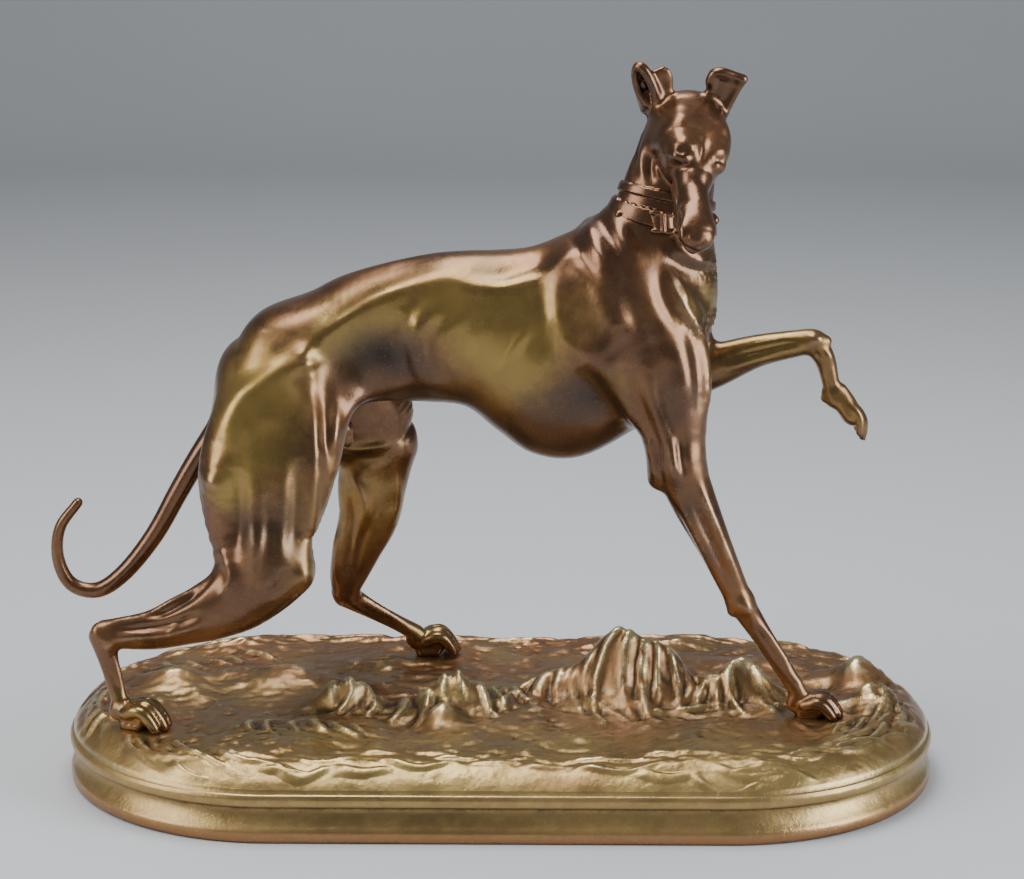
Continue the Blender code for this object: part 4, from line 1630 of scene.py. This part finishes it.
    def rim_place(self, share: float, inset: float) -> tuple[Place, float]:
        """Find a place on a line that runs round the oval from its front left.

        The second half of the round is the first, turned half about.

        Args:
            share: How far round it is, 1 being once round.
            inset: How far inside the outline, in parts.

        Returns:
            The place in parts, and the line's heading there in degrees.
        """
        straight = self.straight / self.part
        outer = 0.5 * self.depth / self.part
        back = share >= 0.5
        along = (2.0 * share - back) * (2.0 * straight + math.pi * outer)
        radius = outer - inset
        if along < 2.0 * straight:
            x, y, heading = along - straight, -radius, 0.0
        else:
            angle = (along - 2.0 * straight) / outer - 0.5 * math.pi
            x, y = straight + radius * math.cos(angle), radius * math.sin(angle)
            heading = math.degrees(angle) + 90.0
        return ((-x, -y), heading + 180.0) if back else ((x, y), heading)

    def rim_blades(self, draw: np.random.RandomState) -> list[Blade]:
        """Lay out the strands that run along the rim.

        Args:
            draw: Where their unevenness is drawn from.

        Returns:
            The blades, all round the oval.
        """
        made = []
        for index in range(self.rim_strands):
            share = (index + 0.35 * draw.uniform(-1, 1)) / self.rim_strands
            place, heading = self.rim_place(share, draw.uniform(*self.rim_insets))
            lean = draw.uniform(*self.rim_leans)
            made.append(Blade(
                place, heading - lean, draw.uniform(*self.rim_lengths),
                draw.uniform(*self.rim_widths), draw.uniform(*self.rim_heights),
                bend=1.6 * lean, taper=0.5, wave=draw.uniform(*self.rim_waves),
            ))
        return made

    def earth(self, across: Array, up: Array) -> Array:
        """Work out the swells, heaps, lobes and strands of the earth.

        Args:
            across: Places along the plan, in parts.
            up: Places across it.

        Returns:
            Their heights together, in parts.
        """
        rise = 0.7 * np.sin(0.052 * across + 1.0) * np.cos(0.075 * up)
        rise += 0.4 * np.sin(0.11 * across - 0.06 * up)
        for mound in self.mounds:
            rise += mound.at(across, up)
        broad, fine = Noise(self.BROAD_SEED), Noise(self.FINE_SEED)
        rise += 0.8 * broad.at(across / 8.0, up / 8.0) + 0.3 * broad.at(across / 3.4, up / 3.4)
        strands = Strands(self.whorls, self.STRAND_SEED)
        lobes = (1.0 - np.abs(strands.at(across, up, width=4.2))) ** 1.6
        cords = (1.0 - np.abs(strands.at(across + 40.0, up, width=2.4))) ** 1.4
        strings = strands.at(across, up, width=2.2)
        threads = strands.at(across, up + 30.0, width=1.1)
        uneven = 0.75 + 0.45 * broad.at(across / 14.0, up / 14.0)
        rise += uneven * (0.55 * lobes + 0.4 * cords + 0.4 * strings + 0.24 * threads)
        return rise + 0.16 * fine.at(across / 0.9, up / 0.9)

    def grass(self, across: Array, up: Array) -> Array:
        """Lay the tufts and the rim's strands over the plan.

        Args:
            across: Places along the plan, in parts.
            up: Places across it.

        Returns:
            How high they stand, in parts.
        """
        relief = np.zeros_like(across)
        draw = np.random.RandomState(self.BLADE_SEED)
        blades = [blade for tuft in self.tufts for blade in tuft.blades(draw)]
        for blade in blades + self.rim_blades(draw):
            blade.raise_on(across, up, relief)
        return relief

    def heights(self, x: Array, y: Array) -> Array:
        """Work out the ground's height, which is even under the paws and along the rim.

        Args:
            x: Places along the plan, in metres.
            y: Places across it, in metres.

        Returns:
            The heights, in metres.
        """
        across, up = x / self.part, y / self.part
        inset = self.inset(x, y)
        clear = np.ones_like(x)
        for paw in self.paws:
            away = np.hypot(x / MILLIMETRE - paw[0], y / MILLIMETRE - paw[1])
            clear *= ease(away, *self.paw_clearance)
        earth = self.earth(across, up) * (0.25 + 0.75 * ease(inset / self.part, *self.inner_run))
        rise = (earth + self.grass(across, up)) * clear + self.paw_level * (1.0 - clear)
        share = np.clip(1.0 - inset / self.bank_run, 0.0, 1.0)
        bank = self.rim_top + (self.ground_level - self.rim_top) * (1.0 - share ** 1.6)
        return bank + rise * self.part * ease(inset, *self.edge_run)

    def cast(self) -> tuple[Skin, int]:
        """Raise the ground and run the moulding round it, down to the flat underside.

        Returns:
            The closed skin, and how many of its vertices belong to the ground.
        """
        u, v = np.meshgrid(np.linspace(-1, 1, self.columns + 1), np.linspace(-1, 1, self.rows + 1),
                           indexing="ij")
        x, y = (values.ravel() for values in self.oval(u, v, self.ground_inset))
        parts = [np.stack([x, y, self.heights(x, y)], 1)]
        number = np.arange(u.size).reshape(u.shape)
        quads = [np.stack([
            number[:-1, :-1].ravel(), number[1:, :-1].ravel(),
            number[1:, 1:].ravel(), number[:-1, 1:].ravel(),
        ], 1)]
        ring = np.concatenate(
            [number[:-1, 0], number[-1, :-1], number[:0:-1, -1], number[0, :0:-1]])
        ring_u, ring_v = u.ravel()[ring], v.ravel()[ring]
        total, upper = u.size, ring
        for inset, height, _ in self.profile:
            x, y = self.oval(ring_u, ring_v, inset * MILLIMETRE)
            parts.append(np.stack([x, y, np.full(len(x), height * MILLIMETRE)], 1))
            lower = total + np.arange(len(ring))
            total += len(ring)
            quads.append(np.stack([np.roll(upper, -1), upper, lower, np.roll(lower, -1)], 1))
            upper = lower
        parts.append(np.zeros((1, 3)))
        fan = np.stack([np.roll(upper, -1), upper, np.full(len(upper), total)], 1)
        return Skin(np.vstack(parts), np.concatenate(quads), fan), u.size

    def dress(self, piece: Piece, skin: Skin, ground: int) -> None:
        """Paint the crests and hollows, the copper tones and the gilt on the base.

        Args:
            piece: The base.
            skin: Its skin.
            ground: How many of the skin's vertices belong to the ground.
        """
        proud = np.clip(skin.relief(self.RELIEF_ROUNDS) / self.full_relief, -1.0, 1.0)
        _, height, tone = np.array(self.profile).T
        around = (len(proud) - 1 - ground) // len(self.profile)
        # The moulding takes the profile's listed tones in place of its relief, among them a painted
        # highlight down the cove.
        proud[ground:-1] = np.repeat(tone, around)
        foot = np.repeat(self.copper * ease(self.foot_top - height, *self.foot_run), around)
        x, y = skin.vertices[:ground, :2].T
        patches = 0.5 + 0.5 * Noise(self.PATCH_SEED).at(x * self.patches_to_metre,
                                                        y * self.patches_to_metre)
        front = ease(-y, *self.front_run)
        red = patches * (0.75 - 0.6 * front)
        gilt = 0.42 * front + 0.3 * (1.0 - patches)
        paint(piece, "proud", proud)
        # On the base this layer is copper: reddish patches on the ground and the foot of the
        # moulding.
        paint(piece, "shade_and_copper", np.concatenate([red, foot, np.zeros(1)]))
        paint(piece, "gilt", np.concatenate([gilt, np.full(len(proud) - ground,
                                                           self.moulding_gilt)]))

    def build(self) -> Piece:
        """Cast the base, dress it and put it into the scene.

        Returns:
            The piece.
        """
        skin, ground = self.cast()
        piece = make_object("base_skin", skin.vertices, [skin.quads, skin.triangles])
        self.dress(piece, skin, ground)
        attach(piece, "root")
        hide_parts("base")
        return piece


class Graph:
    """A node tree that nodes are added to and wired in."""

    def __init__(self, tree: bpy.types.NodeTree) -> None:
        """Keep the tree."""
        self.tree = tree

    def add(self, kind: str, **settings: object) -> bpy.types.Node:
        """Add a node.

        Args:
            kind: The node's type.
            settings: Its properties.

        Returns:
            The new node.
        """
        node = self.tree.nodes.new(kind)
        for name, value in settings.items():
            setattr(node, name, value)
        return node

    def feed(self, socket: Socket, source: object) -> None:
        """Wire an output to a socket, or set the socket to a plain value.

        Args:
            socket: The socket.
            source: The output or the value.
        """
        if isinstance(source, Socket):
            self.tree.links.new(source, socket)
        else:
            socket.default_value = source

    def effect(self, group: bpy.types.NodeTree, **values: float) -> bpy.types.Node:
        """Place a shared effect, with its own values.

        Args:
            group: The effect's node group.
            values: Its inputs that differ from their usual values.

        Returns:
            The node, with the outputs of the effect.
        """
        node = self.add("ShaderNodeGroup", node_tree=group)
        for name, value in values.items():
            node.inputs[name].default_value = value
        return node

    def painted(self, name: str) -> Socket:
        """Read a number that the piece keeps for each vertex."""
        return self.add("ShaderNodeAttribute", attribute_name=name).outputs["Fac"]

    def place(self) -> Socket:
        """Read the coordinates of the piece."""
        return self.add("ShaderNodeTexCoord").outputs["Object"]

    def noise(self, place: object, scale: object, detail: float,
              roughness: float = 0.55) -> Socket:
        """Add a noise texture.

        Args:
            place: The coordinates.
            scale: The noise's scale.
            detail: Its octaves.
            roughness: How strong the finer ones are.

        Returns:
            The noise, around one half.
        """
        node = self.add("ShaderNodeTexNoise")
        self.feed(node.inputs["Vector"], place)
        self.feed(node.inputs["Scale"], scale)
        node.inputs["Detail"].default_value = detail
        node.inputs["Roughness"].default_value = roughness
        return node.outputs["Fac"]

    def step(self, value: object, low: float, high: float, first: float = 0.0,
             last: float = 1.0) -> Socket:
        """Map a value from one range to another, smoothly and without going past the ends.

        Args:
            value: The value.
            low: Where the range starts.
            high: Where it ends.
            first: What the start becomes.
            last: What the end becomes.

        Returns:
            The mapped value.
        """
        node = self.add("ShaderNodeMapRange", interpolation_type="SMOOTHSTEP")
        self.feed(node.inputs["Value"], value)
        for name, number in (("From Min", low), ("From Max", high), ("To Min", first),
                             ("To Max", last)):
            node.inputs[name].default_value = number
        return node.outputs["Result"]

    def maths(self, operation: str, first: object, second: object) -> Socket:
        """Combine two values by an operation.

        Args:
            operation: What is done with them.
            first: The first value.
            second: The second value.

        Returns:
            The result.
        """
        node = self.add("ShaderNodeMath", operation=operation)
        self.feed(node.inputs[0], first)
        self.feed(node.inputs[1], second)
        return node.outputs[0]

    def times(self, first: object, second: object) -> Socket:
        """Multiply two values."""
        return self.maths("MULTIPLY", first, second)

    def plus(self, first: object, second: object) -> Socket:
        """Add two values up."""
        return self.maths("ADD", first, second)

    def blend(self, share: object, first: object, second: object) -> Socket:
        """Mix two colours.

        Args:
            share: How much of the second shows.
            first: The first colour.
            second: The second colour.

        Returns:
            The mixed colour.
        """
        node = self.add("ShaderNodeMix", data_type="RGBA")
        self.feed(node.inputs[0], share)
        for socket, colour in ((node.inputs[6], first), (node.inputs[7], second)):
            self.feed(socket, (*colour, 1.0) if isinstance(colour, tuple) else colour)
        return node.outputs[2]


class Effects:
    """The node groups that the finishes share."""

    def __init__(self) -> None:
        """Build each group once."""
        self.patina = self._patina()
        self.grain = self._grain()

    @staticmethod
    def _group(name: str, inputs: tuple[tuple[str, float], ...],
               outputs: tuple[str, ...]) -> tuple[Graph, bpy.types.Node, bpy.types.Node]:
        """Start a group.

        Args:
            name: Its name.
            inputs: Its inputs, with what each is at first.
            outputs: Its outputs.

        Returns:
            Its graph, with the nodes that give the inputs and take the outputs.
        """
        tree = bpy.data.node_groups.new(name, "ShaderNodeTree")
        for label, value in inputs:
            socket = tree.interface.new_socket(label, in_out="INPUT", socket_type="NodeSocketFloat")
            socket.default_value = value
        for label in outputs:
            tree.interface.new_socket(label, in_out="OUTPUT", socket_type="NodeSocketFloat")
        graph = Graph(tree)
        return graph, graph.add("NodeGroupInput"), graph.add("NodeGroupOutput")

    def _patina(self) -> bpy.types.NodeTree:
        """Build the clouds, blotches and specks of a bronze's patina.

        Returns:
            The node group.
        """
        graph, given, taken = self._group(
            "patina", (("Scale", 60.0),), ("Clouds", "Blotches", "Specks"))
        place, scale = graph.place(), given.outputs["Scale"]
        for name, finer, detail, roughness, low, high in (
            ("Clouds", 1.0, 5.0, 0.6, 0.36, 0.64),
            ("Blotches", 6.0, 5.0, 0.65, 0.4, 0.66),
            ("Specks", 42.0, 3.0, 0.6, 0.56, 0.72),
        ):
            noise = graph.noise(place, graph.times(scale, finer), detail, roughness)
            graph.feed(taken.inputs[name], graph.step(noise, low, high))
        return graph.tree

    def _grain(self) -> bpy.types.NodeTree:
        """Build the fine unevenness of a cast and waxed skin.

        Returns:
            The node group.
        """
        graph, given, taken = self._group(
            "casting grain", (("Scale", 900.0), ("Pits", 0.3)), ("Height",))
        place, scale = graph.place(), given.outputs["Scale"]
        ripple = graph.noise(place, scale, 6.0, 0.6)
        swell = graph.times(graph.noise(place, graph.times(scale, 0.16), 3.0, 0.5), 2.0)
        pits = graph.step(graph.noise(place, graph.times(scale, 0.9), 2.0, 0.4),
                          0.24, 0.36, -1.0, 0.0)
        deep = graph.times(pits, given.outputs["Pits"])
        graph.feed(taken.inputs["Height"], graph.plus(graph.plus(ripple, swell), deep))
        return graph.tree


@dataclass(frozen=True)
class BronzeFinish:
    """Patinated and waxed bronze: its colours from the deepest hollow to the worn edge."""

    name: str
    hollow: Colour
    brown: Colour
    warm: Colour
    golden: Colour
    worn: Colour
    # On the dark bronze this is the colour of the painted shade; on the light bronze it is a copper
    # tone.
    shade_and_copper_colour: Colour = (0.040, 0.034, 0.031)
    roughness: Span = (0.26, 0.42)
    metallic: float = 0.88
    cloud_scale: float = 60.0
    grain_scale: float = 900.0
    grain_depth: float = 0.00004
    pits: float = 0.3
    wax: float = 0.25
    wax_roughness: float = 0.16
    gilded_from: Span = (0.1, 1.05)
    sunk_from: Span = (0.2, 1.15)
    rubbed_from: Span = (0.2, 0.95)
    matt_from: Span = (-0.6, 1.6)
    shade_and_copper_share: float = 0.85
    speck_share: float = 0.18

    def material(self, effects: Effects) -> bpy.types.Material:
        """Build the material: five colours laid over each other, and the casting's grain.

        Args:
            effects: The shared node groups.

        Returns:
            The material.
        """
        made = bpy.data.materials.new(self.name)
        made.use_nodes = True
        graph = Graph(made.node_tree)
        patina = graph.effect(effects.patina, Scale=self.cloud_scale).outputs
        clouds, blotches, specks = patina["Clouds"], patina["Blotches"], patina["Specks"]
        proud, gilt, shade_and_copper = (graph.painted(name) for name in ("proud", "gilt", "shade_and_copper"))
        gilded = graph.step(graph.plus(gilt, graph.times(blotches, 0.2)), *self.gilded_from)
        sunk = graph.step(graph.plus(graph.times(proud, -1.0), graph.times(blotches, 0.3)),
                          *self.sunk_from)
        rubbed = graph.step(graph.plus(proud, graph.times(blotches, -0.25)), *self.rubbed_from)
        colour = graph.blend(clouds, self.brown, self.warm)
        for share, layer in (
            (gilded, self.golden),
            # Painted shade on the dog, with a few darker streaks of patina; copper patches and foot
            # on the base.
            (graph.times(shade_and_copper, self.shade_and_copper_share), self.shade_and_copper_colour),
            (sunk, self.hollow),
            (rubbed, self.worn),
            (graph.times(specks, self.speck_share), self.worn),
        ):
            colour = graph.blend(share, colour, layer)
        matt = graph.plus(clouds, graph.plus(sunk, graph.times(rubbed, -1.0)))
        grain = graph.effect(effects.grain, Scale=self.grain_scale, Pits=self.pits)
        bump = graph.add("ShaderNodeBump")
        graph.feed(bump.inputs["Distance"], self.grain_depth)
        graph.feed(bump.inputs["Height"], grain.outputs["Height"])
        shader = made.node_tree.nodes["Principled BSDF"]
        for name, source in (
            ("Base Color", colour),
            ("Roughness", graph.step(matt, *self.matt_from, *self.roughness)),
            ("Normal", bump.outputs["Normal"]),
            ("Metallic", self.metallic),
            ("Coat Weight", self.wax),
            ("Coat Roughness", self.wax_roughness),
        ):
            graph.feed(shader.inputs[name], source)
        return made


@dataclass(frozen=True)
class SoftBox:
    """A square lamp with an even, soft light."""

    name: str
    place: Point
    target: Point
    size: Span
    power: float
    colour: Colour = (1.0, 1.0, 1.0)

    def build(self) -> None:
        """Hang the lamp and point it."""
        data = bpy.data.lights.new(self.name, "AREA")
        data.shape = "RECTANGLE"
        data.size, data.size_y = self.size
        data.energy = self.power
        data.color = self.colour
        lamp = bpy.data.objects.new(self.name, data)
        lamp.location = self.place
        aim = Vector(self.target) - Vector(self.place)
        lamp.rotation_euler = aim.to_track_quat("-Z", "Y").to_euler()
        bpy.context.scene.collection.objects.link(lamp)


@dataclass(frozen=True)
class Studio:
    """The pale floor with its backdrop, the soft lamps and the camera."""

    azimuth: float = 0.7
    elevation: float = 15.2
    distance: float = 0.75
    target: Point = (-0.0009, 0.0, 0.080)
    focal_pixels: float = 2865.0
    width_pixels: float = 1024.0
    height_pixels: float = 879.0
    aim_pixels: Place = (497.0, 477.0)
    sensor: float = 36.0
    floor_front: float = -1.6
    floor_back: float = 1.0
    floor_half: float = 2.6
    wall_top: float = 2.6
    sweep_radius: float = 0.5
    sweep_steps: int = 16
    paper: tuple[Colour, Colour] = ((0.50, 0.51, 0.52), (0.56, 0.57, 0.58))
    paper_roughness: float = 0.75
    air: Colour = (0.62, 0.66, 0.72)
    air_strength: float = 0.27
    lamps: tuple[SoftBox, ...] = (
        SoftBox("overhead", (-0.10, 0.05, 0.75), (0.0, 0.0, 0.06), (0.7, 0.35), 6.0),
        SoftBox("left", (-0.80, -0.36, 0.48), (0.0, 0.0, 0.08), (0.5, 0.7), 6.0),
        SoftBox("right", (0.80, -0.35, 0.30), (0.02, 0.0, 0.09), (0.5, 0.7), 10.0,
                (0.86, 0.93, 1.0)),
    )

    def floor(self) -> None:
        """Sweep the pale floor up into a backdrop."""
        back, radius = self.floor_back, self.sweep_radius
        rows = [(self.floor_front, 0.0), (back, 0.0)]
        rows += [(back + radius * math.sin(angle), radius * (1.0 - math.cos(angle)))
                 for angle in np.linspace(0.0, 0.5 * math.pi, self.sweep_steps + 1)[1:]]
        rows.append((back + radius, self.wall_top))
        vertices = np.array([(x, y, z) for y, z in rows
                             for x in (-self.floor_half, self.floor_half)])
        first = 2 * np.arange(len(rows) - 1)
        sweep = make_object("studio_floor", vertices,
                            [np.stack([first, first + 1, first + 3, first + 2], 1)])
        paper = bpy.data.materials.new("pale paper")
        paper.use_nodes = True
        graph = Graph(paper.node_tree)
        shader = paper.node_tree.nodes["Principled BSDF"]
        mottle = graph.noise(graph.place(), 3.0, 3.0)
        graph.feed(shader.inputs["Base Color"], graph.blend(mottle, *self.paper))
        graph.feed(shader.inputs["Roughness"], self.paper_roughness)
        sweep.data.materials.append(paper)

    def sky(self) -> None:
        """Set the even light of the room."""
        world = bpy.data.worlds.new("room")
        world.use_nodes = True
        background = world.node_tree.nodes["Background"]
        background.inputs["Color"].default_value = (*self.air, 1.0)
        background.inputs["Strength"].default_value = self.air_strength
        bpy.context.scene.world = world

    def camera(self) -> None:
        """Set the camera where the photograph was taken from."""
        back = way(self.azimuth, self.elevation)
        data = bpy.data.cameras.new("camera")
        data.sensor_width = self.sensor
        data.lens = self.sensor * self.focal_pixels / self.width_pixels
        data.shift_x = (0.5 * self.width_pixels - self.aim_pixels[0]) / self.width_pixels
        data.shift_y = (self.aim_pixels[1] - 0.5 * self.height_pixels) / self.width_pixels
        eye = bpy.data.objects.new("camera", data)
        eye.location = Vector(self.target) + back * self.distance
        eye.rotation_euler = (-back).to_track_quat("-Z", "Y").to_euler()
        bpy.context.scene.collection.objects.link(eye)
        bpy.context.scene.camera = eye

    def build(self) -> None:
        """Set the whole studio up."""
        self.camera()
        self.floor()
        self.sky()
        for lamp in self.lamps:
            lamp.build()


DARK_BRONZE = BronzeFinish(
    "dark bronze", hollow=(0.036, 0.022, 0.015), brown=(0.140, 0.068, 0.036),
    warm=(0.205, 0.096, 0.044), golden=(0.340, 0.220, 0.062), worn=(0.460, 0.320, 0.180),
    roughness=(0.22, 0.38),
)
LIGHT_BRONZE = BronzeFinish(
    "light bronze", hollow=(0.085, 0.050, 0.022), brown=(0.250, 0.145, 0.060),
    warm=(0.320, 0.185, 0.075), golden=(0.500, 0.360, 0.125), worn=(0.700, 0.550, 0.290),
    shade_and_copper_colour=(0.330, 0.135, 0.060), roughness=(0.26, 0.44), cloud_scale=45.0, grain_scale=1100.0,
    grain_depth=0.00008,
)


def main() -> None:
    """Build the pieces in order, and report each."""
    logging.basicConfig(level=logging.INFO, format="%(name)s: %(message)s")
    effects = Effects()
    Studio().build()
    low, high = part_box("base")
    pieces = (
        (Base(high.x - low.x, high.y - low.y).build(), LIGHT_BRONZE),
        *((piece, DARK_BRONZE) for piece in Whippet().build()),
    )
    for piece, finish in pieces:
        piece.data.materials.append(finish.material(effects))
        log.info("built %s with %d vertices", piece.name, len(piece.data.vertices))


if __name__ == "__main__":
    main()
